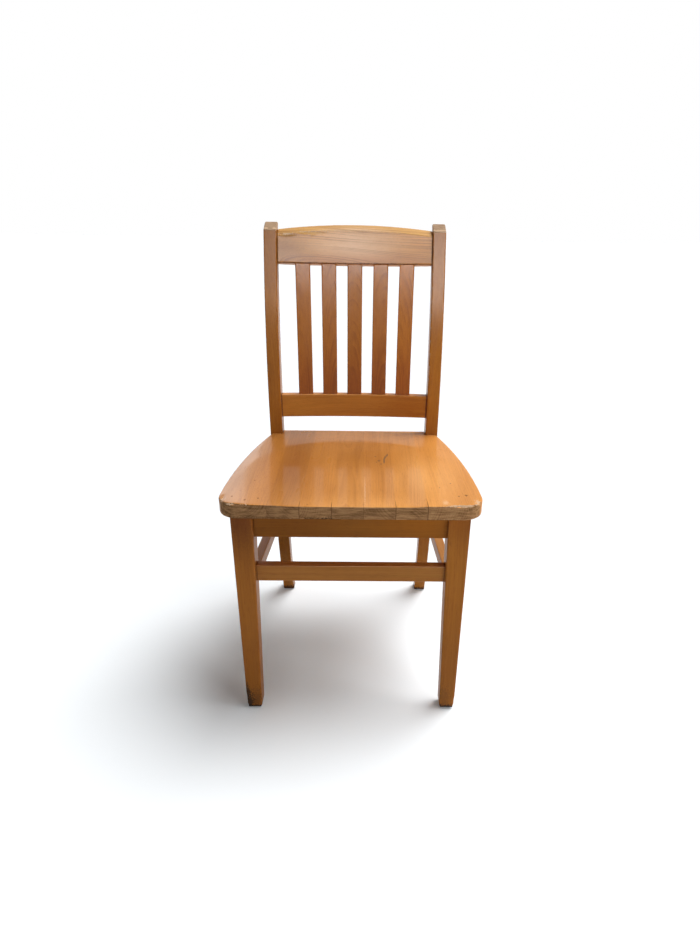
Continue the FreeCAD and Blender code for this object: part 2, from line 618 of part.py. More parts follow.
# Corner blocks: fill the corners of the seat frame, glued to the rails
# The long face of each runs slantwise from a point on the cross rail to a point on the side rail
FRONT_SLANT = (
    ("-leg_inner + block_reach", "front_rail_back"),
    (side_x("(side_front + block_reach)", "side_half"), "side_front + block_reach"),
)
REAR_SLANT = (
    ("-post_inner + block_reach", "rear_rail_front"),
    (side_x("(post_face - block_reach)", "side_half"), "post_face - block_reach"),
)
FRONT_BLOCK = [
    ("-leg_inner", "front_rail_back"),
    *FRONT_SLANT,
    (side_x("side_front", "side_half"), "side_front"),
    ("-leg_inner", "side_front"),
]
REAR_BLOCK = [
    ("-post_inner", "rear_rail_front"),
    *REAR_SLANT,
    (side_x("post_face", "side_half"), "post_face"),
    ("-post_inner", "post_face"),
]


def leg_screw_spot(slant, way):
    """The middle of a block's long face, and the turn that points a screw square into the block."""
    (x_1, y_1), (x_2, y_2) = slant
    across = f"({way}) * (({y_1}) - ({y_2}))"
    along = f"({way}) * (({x_2}) - ({x_1}))"
    return {
        "x": f"(({x_1}) + ({x_2})) / 2",
        "y": f"(({y_1}) + ({y_2})) / 2",
        "z": "leg_screw_z",
        "turn": f"atan2({along}; {across})",
        "swing": "90",
    }


def corner(end, plan, slant, way, seat_screw_x, seat_screw_y):
    """A left corner block with its two screws, and the holes that they need."""
    leg_spot = leg_screw_spot(slant, way)
    seat_spot = {"x": seat_screw_x, "y": seat_screw_y, "z": "block_low"}
    holes = [
        screw(f"{end}_leg_hole", "leg_screw_length", "glue_gap", **leg_spot),
        screw(f"{end}_seat_hole", "seat_screw_length", "glue_gap", **seat_spot),
    ]
    screws = [
        screw(f"{end}_leg_screw", "leg_screw_length", "0", **leg_spot),
        screw(f"{end}_seat_screw", "seat_screw_length", "0", **seat_spot),
    ]
    blank = bar(f"{end}_block_blank", plan, "0", "block_height", z="block_low")
    return minus(f"corner_block_{end}_left", blank, holes), holes, screws


def screw_set(label, left_screws):
    """Like screws of both sides of the chair, as one group."""
    group = doc.addObject("Part::Compound", label)
    group.Links = left_screws + [mirrored(one, f"{one.Name}_right") for one in left_screws]
    return group


# Cross rails of the seat frame and the stretchers
front_rail_spot = {"y": "front_rail_y", "z": "rail_low"}
rear_rail_spot = {"y": "rear_rail_front", "z": "rail_low"}
front_rail = cross_bar("front_rail_bar", "leg_inner", "rail_thick", "rail_height", "front_rail_y", "rail_low")
rear_rail = cross_bar(
    "rear_rail_bar", "post_inner", "rail_thick", "rail_height", "rear_rail_front", "rail_low")
seat_tenon = ("rail_thick", "tenon_drop", "tenon_height")
front_tenons, front_mortise = end_tenons("front_rail", "leg_inner", *seat_tenon, **front_rail_spot)
rear_tenons, rear_mortise = end_tenons("rear_rail", "post_inner", *seat_tenon, **rear_rail_spot)
front_seat_rail = plus("front_seat_rail", [front_rail, *front_tenons])
rear_seat_rail = plus("rear_seat_rail", [rear_rail, *rear_tenons])

stretcher_section = ("front_stretcher_thick", "front_stretcher_height")
front_stretcher = cross_bar(
    "front_stretcher", "front_stretcher_half", *stretcher_section, "front_rail_y", "front_stretcher_low")
rear_stretcher = cross_bar(
    "rear_stretcher", "rear_stretcher_half", *stretcher_section, "rear_stretcher_y", "front_stretcher_low")
front_stretcher_room = cross_room(
    "front_stretcher_room", "front_stretcher_half", "leg_inner", *stretcher_section,
    "front_rail_y", "front_stretcher_low")
rear_stretcher_room = cross_room(
    "rear_stretcher_room", "rear_stretcher_half", "post_inner", *stretcher_section,
    "rear_stretcher_y", "front_stretcher_low")

# Side rails and side stretchers
side_rail = side_bar("side_rail_bar", "side_front", "post_face", "side_half", "0", "rail_height", "rail_low")
side_rail_tenons = [
    side_tenon("side_rail_tenon_front", "leg_middle", "side_front - side_tenon", "side_front", "0"),
    side_tenon("side_rail_tenon_rear", "post_middle", "post_face", "post_face + side_tenon", "0"),
]
side_mortise_front = side_tenon(
    "side_rail_mortise_front", "leg_middle",
    "side_front - side_tenon - mortise_spare", "side_front", "glue_gap")
side_mortise_rear = side_tenon(
    "side_rail_mortise_rear", "post_middle",
    "post_face", "post_face + side_tenon + mortise_spare", "glue_gap")
side_rail_whole = plus("side_rail_whole", [side_rail, *side_rail_tenons])
side_stretcher_left = side_bar(
    "side_stretcher_left", "stretcher_start", "stretcher_end", "stretcher_half", "side_stretcher_shift",
    "side_stretcher_height", "side_stretcher_low")
side_stretcher_room = side_room(
    "side_stretcher_room", "stretcher_half", "side_stretcher_shift",
    "side_stretcher_height", "side_stretcher_low")

# Back rails and slats
crest_spot = {"y": "crest_y", "z": "crest_low", "tilt": "-crest_tilt"}
lower_spot = {"y": "lower_y", "z": "lower_rail_low", "tilt": "-lower_tilt"}
crest_blank = back_rail_blank("crest_blank", "crest_thick", "crest_blank", **crest_spot)
arch_crest(crest_blank)
ease_long_edges(crest_blank)
lower_blank = back_rail_blank("lower_blank", "lower_rail_thick", "lower_rail_height", **lower_spot)
ease_long_edges(lower_blank)
crest_tenons, crest_mortise = end_tenons(
    "crest", "post_inner", "crest_thick", "back_tenon_margin", "crest_tenon", **crest_spot)
lower_tenons, lower_mortise = end_tenons(
    "lower_rail", "post_inner", "lower_rail_thick", "back_tenon_margin", "lower_tenon", **lower_spot)
back_slats = [back_slat(index) for index in range(SLATS)]
slat_rooms = [
    slat(f"slat_{index + 1}_room", index, "glue_gap", "slat_tenon + mortise_spare") for index in range(SLATS)]
crest_rail = minus("crest_rail", plus("crest_whole", [crest_blank, *crest_tenons]), slat_rooms)
lower_back_rail = minus("lower_back_rail", plus("lower_whole", [lower_blank, *lower_tenons]), slat_rooms)

# Corner blocks and screws
front_block, front_holes, front_screws = corner(
    "front", FRONT_BLOCK, FRONT_SLANT, "1",
    "-leg_inner + seat_screw_side", "front_rail_back + seat_screw_off")
rear_block, rear_holes, rear_screws = corner(
    "rear", REAR_BLOCK, REAR_SLANT, "-1",
    "-post_inner + seat_screw_side", "rear_rail_front - seat_screw_off")

# The leg screws pass close to the side rails, which make room for them where they meet
side_seat_rail_left = minus("side_seat_rail_left", side_rail_whole, [front_holes[0], rear_holes[0]])

# Legs and posts, with the mortises of everything that they carry
front_leg_left = minus(
    "front_leg_left", front_leg_blank(),
    [front_mortise, side_mortise_front, front_stretcher_room, side_stretcher_room, front_holes[0]])
rear_post_left = minus(
    "rear_post_left", rear_post_blank(),
    [crest_mortise, lower_mortise, rear_mortise, side_mortise_rear, side_stretcher_room, rear_stretcher_room,
     rear_holes[0]])

# Seat
seat_holes = [front_holes[1], rear_holes[1]]
seat_holes += [mirrored(hole, f"{hole.Name}_right") for hole in seat_holes]
panel = minus("drilled_seat_panel", seat_panel(), seat_holes)
seat_staves = [seat_stave(panel, index) for index in range(STAVES)]

# Every piece of the chair, left ones copied to the right
nodes = [front_seat_rail, rear_seat_rail, front_stretcher, rear_stretcher, crest_rail, lower_back_rail]
nodes += back_slats + seat_staves
left_pieces = [
    front_leg_left, rear_post_left, side_seat_rail_left, side_stretcher_left, front_block, rear_block]
nodes += left_pieces + [mirrored(piece, piece.Name.replace("_left", "_right")) for piece in left_pieces]
screw_groups = [
    screw_set("leg_screws", [front_screws[0], rear_screws[0]]),
    screw_set("seat_screws", [front_screws[1], rear_screws[1]]),
]
nodes += screw_groups
for node in nodes:
    node.Label = node.Name
doc.recompute()

# Nothing is written unless every object is sound
failed = [thing.Name for thing in doc.Objects if {"Invalid", "Error"} & set(thing.State)]
assert not failed, f"failed: {failed}"
sketches = [thing for thing in doc.Objects if thing.TypeId == "Sketcher::SketchObject"]
loose = [sketch.Name for sketch in sketches if not sketch.FullyConstrained]
assert not loose, f"not fully set: {loose}"
for node in nodes:
    assert not node.Shape.isNull() and node.Shape.isValid(), f"{node.Label} has no sound shape"
    expected = 4 if node in screw_groups else 1
    assert len(node.Shape.Solids) == expected, f"{node.Label} has {len(node.Shape.Solids)} solids"

os.makedirs("parts", exist_ok=True)
for node in nodes:
    node.Shape.exportStep(f"parts/{node.Label}.step")
    box = node.Shape.BoundBox
    spans = " ".join(f"{low:.1f}..{high:.1f}" for low, high in (
        (box.XMin, box.XMax), (box.YMin, box.YMax), (box.ZMin, box.ZMax)))
    print(f"{node.Label}: {spans}, {node.Shape.Volume / 1000:.1f} cm3")
print(f"{len(nodes)} pieces")
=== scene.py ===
# %% [markdown]
# A worn slat back chair in amber varnished hardwood.
# Its shapes come from a CAD model that is already in place.
# This lesson gives them their wood, their varnish and their wear.
# Then it lights the chair and frames it.

import json
import math

import bpy
from mathutils import Matrix, Vector

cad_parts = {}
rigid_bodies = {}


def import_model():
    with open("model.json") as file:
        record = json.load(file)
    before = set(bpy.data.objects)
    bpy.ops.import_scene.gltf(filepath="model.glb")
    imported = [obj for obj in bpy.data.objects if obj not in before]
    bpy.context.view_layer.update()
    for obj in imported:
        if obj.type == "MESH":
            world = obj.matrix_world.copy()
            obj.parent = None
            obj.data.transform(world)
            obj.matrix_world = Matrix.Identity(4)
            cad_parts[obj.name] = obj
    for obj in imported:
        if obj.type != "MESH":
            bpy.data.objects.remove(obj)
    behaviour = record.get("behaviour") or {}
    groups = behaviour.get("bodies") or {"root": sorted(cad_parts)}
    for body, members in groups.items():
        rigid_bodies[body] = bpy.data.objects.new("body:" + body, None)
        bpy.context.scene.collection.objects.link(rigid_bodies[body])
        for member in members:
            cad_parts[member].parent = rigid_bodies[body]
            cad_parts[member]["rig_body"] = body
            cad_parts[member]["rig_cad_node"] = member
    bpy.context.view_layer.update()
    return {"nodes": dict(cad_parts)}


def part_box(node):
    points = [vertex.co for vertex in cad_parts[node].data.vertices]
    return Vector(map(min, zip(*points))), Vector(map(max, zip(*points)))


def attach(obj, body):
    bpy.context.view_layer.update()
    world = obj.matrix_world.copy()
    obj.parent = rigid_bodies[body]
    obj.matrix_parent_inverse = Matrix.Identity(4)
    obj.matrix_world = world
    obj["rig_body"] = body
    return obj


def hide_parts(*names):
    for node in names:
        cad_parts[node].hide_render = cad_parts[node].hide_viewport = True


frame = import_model()
nodes = frame["nodes"]
print(len(nodes), "pieces loaded")

# %% [markdown]
# A material is a tree of nodes, and building it in code repeats the same few moves many times.
# They could be written out each time.
# Short helpers keep the later cells about wood and not about sockets, so they come first.
# Each one adds a node, fills its inputs with values or links, and hands back its result.

# %% Small helpers for nodes
def fill(tree, socket, value):
    """Link a socket to another one, or give it a value."""
    if isinstance(value, bpy.types.NodeSocket):
        tree.links.new(value, socket)
    elif value is not None:
        socket.default_value = value


def add_node(tree, kind, *values, **settings):
    """Add a node, and fill its inputs in order."""
    made = tree.nodes.new(kind)
    for name, value in settings.items():
        setattr(made, name, value)
    for socket, value in zip(made.inputs, values):
        fill(tree, socket, value)
    return made


def maths(tree, operation, *values, clamp=False):
    """A Math node's result."""
    made = add_node(tree, "ShaderNodeMath", *values, operation=operation, use_clamp=clamp)
    return made.outputs[0]


def vector_maths(tree, operation, *values):
    """A Vector Math node's vector result."""
    return add_node(tree, "ShaderNodeVectorMath", *values, operation=operation).outputs["Vector"]


def measured(tree, operation, *values):
    """A Vector Math node's single number, such as a length."""
    return add_node(tree, "ShaderNodeVectorMath", *values, operation=operation).outputs["Value"]


def parts_of(tree, vector):
    """The X, Y and Z of a vector."""
    return add_node(tree, "ShaderNodeSeparateXYZ", vector).outputs


print("helpers for nodes ready")

# %% [markdown]
# Wood needs three more things again and again: soft steps, stretched noise and mixed colours.
# A Color Ramp node would also give a step, but the limits of a Map Range node can be linked.
# An effect that many pieces share becomes a node group, which is built once and placed often.

# %% Helpers for steps, noise, colours and groups
def ramp(tree, value, low, high, to_low=0.0, to_high=1.0):
    """A smooth step of a value between two limits."""
    made = add_node(tree, "ShaderNodeMapRange", value, low, high, to_low, to_high,
                    interpolation_type="SMOOTHSTEP")
    return made.outputs[0]


def noise(tree, vector, stretch, detail=2.0):
    """The outputs of a noise on a vector that is stretched by its own amount along each axis."""
    stretched = vector_maths(tree, "MULTIPLY", vector, stretch)
    return add_node(tree, "ShaderNodeTexNoise", stretched, None, 1.0, detail).outputs


def mix_colour(tree, factor, first, second, blend="MIX"):
    """Two colours mixed by a factor."""
    made = add_node(tree, "ShaderNodeMix", data_type="RGBA", blend_type=blend)
    for place, value in ((0, factor), (6, first), (7, second)):
        fill(tree, made.inputs[place], value)
    return made.outputs[2]


def new_group(name, inputs, outputs):
    """An empty shader group with named sockets, and its two end nodes' sockets."""
    group = bpy.data.node_groups.new(name, "ShaderNodeTree")
    for in_out, sockets in (("INPUT", inputs), ("OUTPUT", outputs)):
        for socket_name, kind in sockets:
            group.interface.new_socket(socket_name, in_out=in_out, socket_type=f"NodeSocket{kind}")
    ins = group.nodes.new("NodeGroupInput").outputs
    return group, ins, group.nodes.new("NodeGroupOutput").inputs


def place_group(tree, group, inputs):
    """Place a group, fill its inputs by name, and return its outputs."""
    made = add_node(tree, "ShaderNodeGroup", node_tree=group)
    for name, value in inputs.items():
        fill(tree, made.inputs[name], value)
    return made.outputs


print("helpers for wood ready")

# %% [markdown]
# Each wooden piece is sawn from a trunk, so its figure is rings around a far axis.
# A flat image of grain would not turn the corner onto a cut end, so the pattern is solid.
# The group measures the distance to the trunk's axis and folds it into rings.
# A slow noise bends the trunk, and another makes good years wide and bad years narrow.
# The colours are inputs, so one group serves every board of the chair.

# %% Figure of a board: rings
NOISE_MEAN = 0.5
BEND_STRETCH = (6.0, 6.0, 1.5)
YEAR_STRETCH, YEAR_CHANGE = (90.0, 1.0, 1.2), 5.0
FADE_STRETCH = (40.0, 40.0, 7.0)

board_figure, board_in, board_out = new_group(
    "board figure",
    [("Board", "Vector"), ("Seed", "Float"), ("Ring Width", "Float"), ("Slant", "Float"),
     ("Wander", "Float"), ("Rings", "Float"), ("Streaks", "Float"), ("Light", "Color"),
     ("Dark", "Color")],
    [("Color", "Color"), ("Figure", "Float"), ("Relief", "Float"), ("Clouds", "Float")],
)
tree = board_figure
own_place = vector_maths(tree, "SCALE", (0.37, 0.61, 0.83), None, None, board_in["Seed"])
shifted = vector_maths(tree, "ADD", board_in["Board"], own_place)
drift = noise(tree, shifted, BEND_STRETCH)["Color"]
drift = vector_maths(tree, "SUBTRACT", drift, (NOISE_MEAN, NOISE_MEAN, NOISE_MEAN))
drift = vector_maths(tree, "SCALE", drift, None, None, board_in["Wander"])
bent = parts_of(tree, vector_maths(tree, "ADD", board_in["Board"], drift))
leaning = maths(tree, "MULTIPLY_ADD", bent["Z"], board_in["Slant"], bent["Y"])
across = add_node(tree, "ShaderNodeCombineXYZ", bent["X"], leaning, 0.0).outputs[0]
distance = measured(tree, "LENGTH", across)
years = add_node(tree, "ShaderNodeCombineXYZ", distance, board_in["Seed"], bent["Z"]).outputs[0]
good_years = maths(tree, "SUBTRACT", noise(tree, years, YEAR_STRETCH)["Fac"], NOISE_MEAN)
rings = maths(tree, "DIVIDE", distance, board_in["Ring Width"])
fold = maths(tree, "FRACT", maths(tree, "MULTIPLY_ADD", good_years, YEAR_CHANGE, rings))
late_wood = maths(tree, "MULTIPLY", ramp(tree, fold, 0.3, 0.9), ramp(tree, fold, 1.0, 0.93))
faded = ramp(tree, noise(tree, shifted, FADE_STRETCH)["Fac"], 0.32, 0.62)
late_wood = maths(tree, "MULTIPLY", late_wood, faded)
print("rings drawn with", len(board_figure.nodes), "nodes")

# %% [markdown]
# Between its rings, wood has streaks, fine fibres, pores and soft clouds of tone.
# One noise could stand for all of them, but each has its own size, so each gets its own.
# All are drawn out along the board, as the cells of the tree were.
# Together they say how deep the colour is, and fibres and pores also give the surface its relief.

# %% Figure of a board: streaks, fibres, pores and clouds
STREAK_STRETCH, STREAK_SHARE = (210.0, 210.0, 3.5), 0.8
FIBRE_STRETCH, FIBRE_SHARE = (900.0, 900.0, 14.0), 0.5
CLOUD_STRETCH, CLOUD_SHARE = (22.0, 22.0, 4.0), 0.9
PORE_STRETCH, PORE_SHARE = (1500.0, 1500.0, 55.0), 0.3
LINES_MEAN = 0.65
PLAIN_DEPTH = 0.3
PORE_SINK, FIBRE_RISE = -0.6, 0.4

streaks = noise(tree, shifted, STREAK_STRETCH)["Fac"]
fibres = noise(tree, shifted, FIBRE_STRETCH)["Fac"]
clouds = noise(tree, shifted, CLOUD_STRETCH)["Fac"]
pores = ramp(tree, noise(tree, shifted, PORE_STRETCH, 1.0)["Fac"], 0.6, 0.72)
depth = maths(tree, "MULTIPLY", late_wood, board_in["Rings"])
lines = maths(tree, "MULTIPLY", streaks, STREAK_SHARE)
lines = maths(tree, "MULTIPLY_ADD", fibres, FIBRE_SHARE, lines)
lines = maths(tree, "SUBTRACT", lines, LINES_MEAN)
depth = maths(tree, "MULTIPLY_ADD", lines, board_in["Streaks"], depth)
uneven = maths(tree, "SUBTRACT", clouds, NOISE_MEAN)
depth = maths(tree, "MULTIPLY_ADD", uneven, CLOUD_SHARE, depth)
depth = maths(tree, "ADD", depth, PLAIN_DEPTH, clamp=True)
tinted = mix_colour(tree, depth, board_in["Light"], board_in["Dark"])
pore_mask = maths(tree, "MULTIPLY", pores, PORE_SHARE)
with_pores = mix_colour(tree, pore_mask, tinted, board_in["Dark"], blend="MULTIPLY")
relief = maths(tree, "MULTIPLY_ADD", pores, PORE_SINK, maths(tree, "MULTIPLY", fibres, FIBRE_RISE))
for name, result in (("Color", with_pores), ("Figure", late_wood), ("Relief", relief),
                     ("Clouds", clouds)):
    tree.links.new(result, board_out[name])
print("group", board_figure.name, "has", len(board_figure.nodes), "nodes")

# %% [markdown]
# Where a board is cut across, its fibres drink more stain and its varnish wears thin.
# So a cut end is browner and duller than a side, and shows rings and specks for long lines.
# The ends could be selected by hand and given a material of their own.
# Here the face's own direction tells an end from a side, which also works on a rounded corner.

# %% Cut ends
END_FROM, END_FULL = 0.4, 0.68
WEATHER_STRETCH, WEATHER_SHARE = (45.0, 330.0, 330.0), 0.6
END_RINGS, END_SPECKS = 0.3, 0.35

cut_end, end_in, end_out = new_group(
    "cut end",
    [("Normal", "Vector"), ("Grain", "Vector"), ("Board", "Vector"), ("Color", "Color"),
     ("Figure", "Float"), ("Relief", "Float"), ("End Light", "Color"), ("End Dark", "Color")],
    [("Color", "Color"), ("End", "Float")],
)
tree = cut_end
along = measured(tree, "DOT_PRODUCT", end_in["Normal"], end_in["Grain"])
end_mask = ramp(tree, maths(tree, "ABSOLUTE", along), END_FROM, END_FULL)
specks = ramp(tree, end_in["Relief"], 0.25, 0.05)
weather = ramp(tree, noise(tree, end_in["Board"], WEATHER_STRETCH, 4.0)["Fac"], 0.3, 0.7)
end_depth = maths(tree, "MULTIPLY", specks, END_SPECKS)
end_depth = maths(tree, "MULTIPLY_ADD", end_in["Figure"], END_RINGS, end_depth)
end_depth = maths(tree, "MULTIPLY_ADD", weather, WEATHER_SHARE, end_depth, clamp=True)
ringed = mix_colour(tree, end_depth, end_in["End Light"], end_in["End Dark"])
tree.links.new(mix_colour(tree, end_mask, end_in["Color"], ringed), end_out["Color"])
tree.links.new(end_mask, end_out["End"])
print("group", cut_end.name, "has", len(cut_end.nodes), "nodes")

# %% [markdown]
# Hands and dusters polish the finish off the corners of a chair first.
# Blender can find edges by how pointed a mesh is, but that depends on how finely it is meshed.
# On a corner the face's direction lies between two axes, so its largest part is well under one.
# That is the same on any mesh, and noise breaks the rubbed line up, as no edge wears evenly.

# %% Rubbed edges
FLAT_FACE, CORNER_FACE = 0.94, 0.8
RUB_STRETCH = (70.0, 70.0, 30.0)

rubbed_edges, rub_in, rub_out = new_group(
    "rubbed edges", [("Normal", "Vector"), ("Spot", "Vector"), ("Amount", "Float")],
    [("Mask", "Float")])
tree = rubbed_edges
facing = parts_of(tree, vector_maths(tree, "ABSOLUTE", rub_in["Normal"]))
largest = maths(tree, "MAXIMUM", facing["X"], facing["Y"])
largest = maths(tree, "MAXIMUM", largest, facing["Z"])
corner = ramp(tree, largest, FLAT_FACE, CORNER_FACE)
patchy = ramp(tree, noise(tree, rub_in["Spot"], RUB_STRETCH, 3.0)["Fac"], 0.42, 0.62)
rubbed = maths(tree, "MULTIPLY", corner, patchy)
tree.links.new(maths(tree, "MULTIPLY", rubbed, rub_in["Amount"]), rub_out["Mask"])
print("group", rubbed_edges.name, "has", len(rubbed_edges.nodes), "nodes")

# %% [markdown]
# The chair's own history is a set of single marks: grime, chips, pits, a scratch, dirt in seams. A
# few marks are painted light instead.
# They could be painted on an image, but this chair carries no images.
# So one group makes a ragged spot around a point, as wide as asked along each axis.
# Each mark then places that group once.

# %% A ragged spot
BITE_STRETCH = (420.0, 420.0, 420.0)

ragged_spot, mark_in, mark_out = new_group(
    "ragged spot",
    [("Spot", "Vector"), ("Middle", "Vector"), ("Reach", "Vector"), ("Ragged", "Float"),
     ("Soft", "Float")],
    [("Mask", "Float")],
)
tree = ragged_spot
off = vector_maths(tree, "SUBTRACT", mark_in["Spot"], mark_in["Middle"])
away = measured(tree, "LENGTH", vector_maths(tree, "DIVIDE", off, mark_in["Reach"]))
bite = maths(tree, "SUBTRACT", noise(tree, mark_in["Spot"], BITE_STRETCH, 4.0)["Fac"], NOISE_MEAN)
bitten = maths(tree, "MULTIPLY_ADD", bite, mark_in["Ragged"], away)
full = maths(tree, "SUBTRACT", 1.0, mark_in["Soft"])
tree.links.new(ramp(tree, bitten, 1.0, full), mark_out["Mask"])
print("group", ragged_spot.name, "has", len(ragged_spot.nodes), "nodes")

# %% [markdown]
# Now the marks themselves: grime round the feet, bare wood on knocked arrises, dirt in the joints,
# painted highlights on the post tops and painted shade under the crest.
# They could be scattered at random, but then the chair would not be this one.
# So they are listed piece by piece, in millimetres, as on a condition sheet.
# Each has its stain, its middle, its reach along the axes, how ragged it is and how strong.

# %% Marks on the legs and the back
GRIME = (0.016, 0.011, 0.007)
# Brown dirt in joints, seams and scuffs; under the crest and along the seat's front arris it is
# painted shade.
BROWN_DIRT_AND_SHADE = (0.07, 0.03, 0.012)
# Pale bare wood where an arris is worn; on the post tops the same colour is a painted highlight.
PALE_WEAR_AND_HIGHLIGHT = (0.66, 0.45, 0.28)
marks = {
    "front_leg_left": [
        (GRIME, (-188, -208, 0), (70, 70, 12), 0.9, 0.92),
        (GRIME, (-202, -227, 16), (12, 8, 26), 3.4, 0.88),
        (GRIME, (-204, -227, 40), (6, 6, 26), 2.6, 0.85),
        (BROWN_DIRT_AND_SHADE, (-186, -227, 26), (14, 5, 26), 4.6, 0.5),
    ],
    "front_leg_right": [
        (GRIME, (188, -208, 0), (70, 70, 11), 0.9, 0.92),
        (GRIME, (190, -227, 4), (22, 8, 9), 3.0, 0.85),
        (BROWN_DIRT_AND_SHADE, (184, -227, 30), (14, 5, 30), 4.6, 0.35),
    ],
    "rear_post_left": [
        (GRIME, (-168, 208, 0), (40, 40, 15), 2.6, 0.85),
        # Painted highlights along the front arris of the post's top.
        (PALE_WEAR_AND_HIGHLIGHT, (-181, 207, 868), (6, 6, 2.4), 1.6, 0.95),
        (PALE_WEAR_AND_HIGHLIGHT, (-164, 207, 868), (5, 6, 2.4), 1.6, 0.95),
        (BROWN_DIRT_AND_SHADE, (-159, 196, 815), (1.4, 40, 60), 1.0, 0.35),
    ],
    "rear_post_right": [
        (GRIME, (172, 208, 0), (40, 40, 11), 2.6, 0.85),
        # Painted highlight along the front arris of the post's top.
        (PALE_WEAR_AND_HIGHLIGHT, (172, 207, 868), (18, 6, 2), 1.6, 0.9),
        (BROWN_DIRT_AND_SHADE, (159, 196, 815), (1.4, 40, 60), 1.0, 0.5),
    ],
    "crest_rail": [
        (BROWN_DIRT_AND_SHADE, (-158, 196, 830), (1.4, 60, 60), 0.8, 0.3),
        (BROWN_DIRT_AND_SHADE, (158, 196, 830), (1.4, 60, 60), 0.8, 0.4),
        (PALE_WEAR_AND_HIGHLIGHT, (-140, 206, 859), (24, 5, 3.2), 2.4, 0.9),
        (PALE_WEAR_AND_HIGHLIGHT, (-92, 211, 863), (40, 5, 2.4), 2.8, 0.7),
        (PALE_WEAR_AND_HIGHLIGHT, (-20, 215, 865), (60, 5, 1.8), 3.4, 0.5),
        (BROWN_DIRT_AND_SHADE, (-134, 205, 854.5), (26, 5, 1.2), 1.8, 0.35),
        (BROWN_DIRT_AND_SHADE, (40, 213, 862), (90, 6, 1.2), 3.4, 0.2),
        # Painted shadow along the crest's lower edge.
        (BROWN_DIRT_AND_SHADE, (0, 187, 804), (200, 13, 3.2), 0.8, 0.85),
    ],
    "lower_back_rail": [
        (BROWN_DIRT_AND_SHADE, (-158, 150, 515), (1.6, 60, 60), 0.8, 0.75),
        (BROWN_DIRT_AND_SHADE, (158, 150, 515), (1.6, 60, 60), 0.8, 0.75),
    ],
}
print(sum(len(spots) for spots in marks.values()), "marks on the legs and the back")

# %% [markdown]
# Where a rail or a stretcher meets a leg, old varnish and dirt draw a thin dark line.
# The line could be a gap in the model, but the real joint is tight.
# All eight lines are alike, so a loop writes them.

# %% Lines in the joints
JOINT_LINE = (0.10, 0.035, 0.008)
JOINT_OUT = 168.5  # millimetres from the chair's middle
for end, y in (("front", -208), ("rear", 195)):
    for side in (-1, 1):
        for rail, z, strength in (("stretcher", 320, 0.6), ("seat_rail", 400, 0.7)):
            line = (JOINT_LINE, (side * JOINT_OUT, y, z), (1.4, 60, 60), 0.6, strength)
            marks.setdefault(f"{end}_{rail}", []).append(line)
print(sum(len(spots) for spots in marks.values()), "marks with the joints")

# %% [markdown]
# The seat shows the most use: open seams at its front, pits, a crescent scratch, chipped corners.
# Each of its seven boards could have a list of its own, but the scratch and the chips cross seams.
# So a mark is written once for the whole seat, and later each board takes those that reach it.
# The crescent is a row of short scratches. A pale streak down the dish is a painted reflection,
# and a dark line along the front arris is painted shade.

# %% Marks on the seat
SCRATCH = (0.10, 0.075, 0.05)
PIT = (0.19, 0.075, 0.025)
# A pale smear; drawn long and thin down the dish it is a painted reflection of a gap between the
# slats.
SMEAR_AND_REFLECTION = (0.86, 0.55, 0.32)
DISH_Z, RIM_Z = 452, 456
SEAMS = ((-141.0, 0.2), (-86.7, 0.7), (-32.4, 0.8), (21.9, 0.35), (76.2, 0.75), (130.5, 0.85))
CRESCENT = ((70, 15), (67.6, 9), (65.4, 3), (63.6, -4), (62.4, -11), (62, -18), (62.2, -25))
NICKS = ((52, -16, 3.6), (45, 6, 2.2), (56, -34, 2.4), (47, -24, 2.0))
PITS = ((-204, -206, 2.2), (-180, -218, 2.4), (-159, -209, 2.2), (-177, -130, 1.8),
        (-73, -228, 2.2), (180, -137, 1.8), (200, -193, 3.0), (187, -196, 1.8),
        (158, -155, 1.6), (20, -190, 1.8))
seat_marks = [
    *((BROWN_DIRT_AND_SHADE, (x, -245, 440), (0.8, 45, 60), 1.0, strength) for x, strength in SEAMS),
    *((SCRATCH, (x, y, DISH_Z), (1.9, 8, 12), 0.9, 0.62) for x, y in CRESCENT),
    *((SCRATCH, (x, y, DISH_Z), (size, size * 1.4, 12), 1.4, 0.55) for x, y, size in NICKS),
    *((PIT, (x, y, RIM_Z), (size, size * 1.5, 6), 1.2, 0.8) for x, y, size in PITS),
    (PALE_WEAR_AND_HIGHLIGHT, (-219, -216, 454), (3, 10, 2.4), 3.8, 0.85),
    (PALE_WEAR_AND_HIGHLIGHT, (-205, -234, 455), (11, 4, 1.8), 3.8, 0.9),
    (PALE_WEAR_AND_HIGHLIGHT, (-172, -238, 456), (24, 3, 1.3), 3.4, 0.8),
    (PALE_WEAR_AND_HIGHLIGHT, (190, -236, 455.5), (36, 4, 2.2), 2.2, 0.85),
    (PALE_WEAR_AND_HIGHLIGHT, (214, -221, 455), (8, 14, 2.2), 2.4, 0.85),
    (SMEAR_AND_REFLECTION, (161, -222, 457), (6, 10, 6), 2.6, 0.6),
    # Painted reflection: a pale streak where a gap between the slats mirrors in the varnish.
    (SMEAR_AND_REFLECTION, (24, -165, 455), (1.4, 85, 12), 1.6, 0.4),
    # Painted shade: a dark line along the seat's front arris.
    (BROWN_DIRT_AND_SHADE, (0, -239, 455), (150, 3, 3), 2.6, 0.5),
    (GRIME, (-45, -238, 428), (46, 6, 4.5), 4.0, 0.85),
    (GRIME, (150, -238, 428), (60, 6, 3), 4.4, 0.5),
    (BROWN_DIRT_AND_SHADE, (-150, -238, 429), (70, 6, 4), 4.4, 0.6),
]
print(len(seat_marks), "marks on the seat")
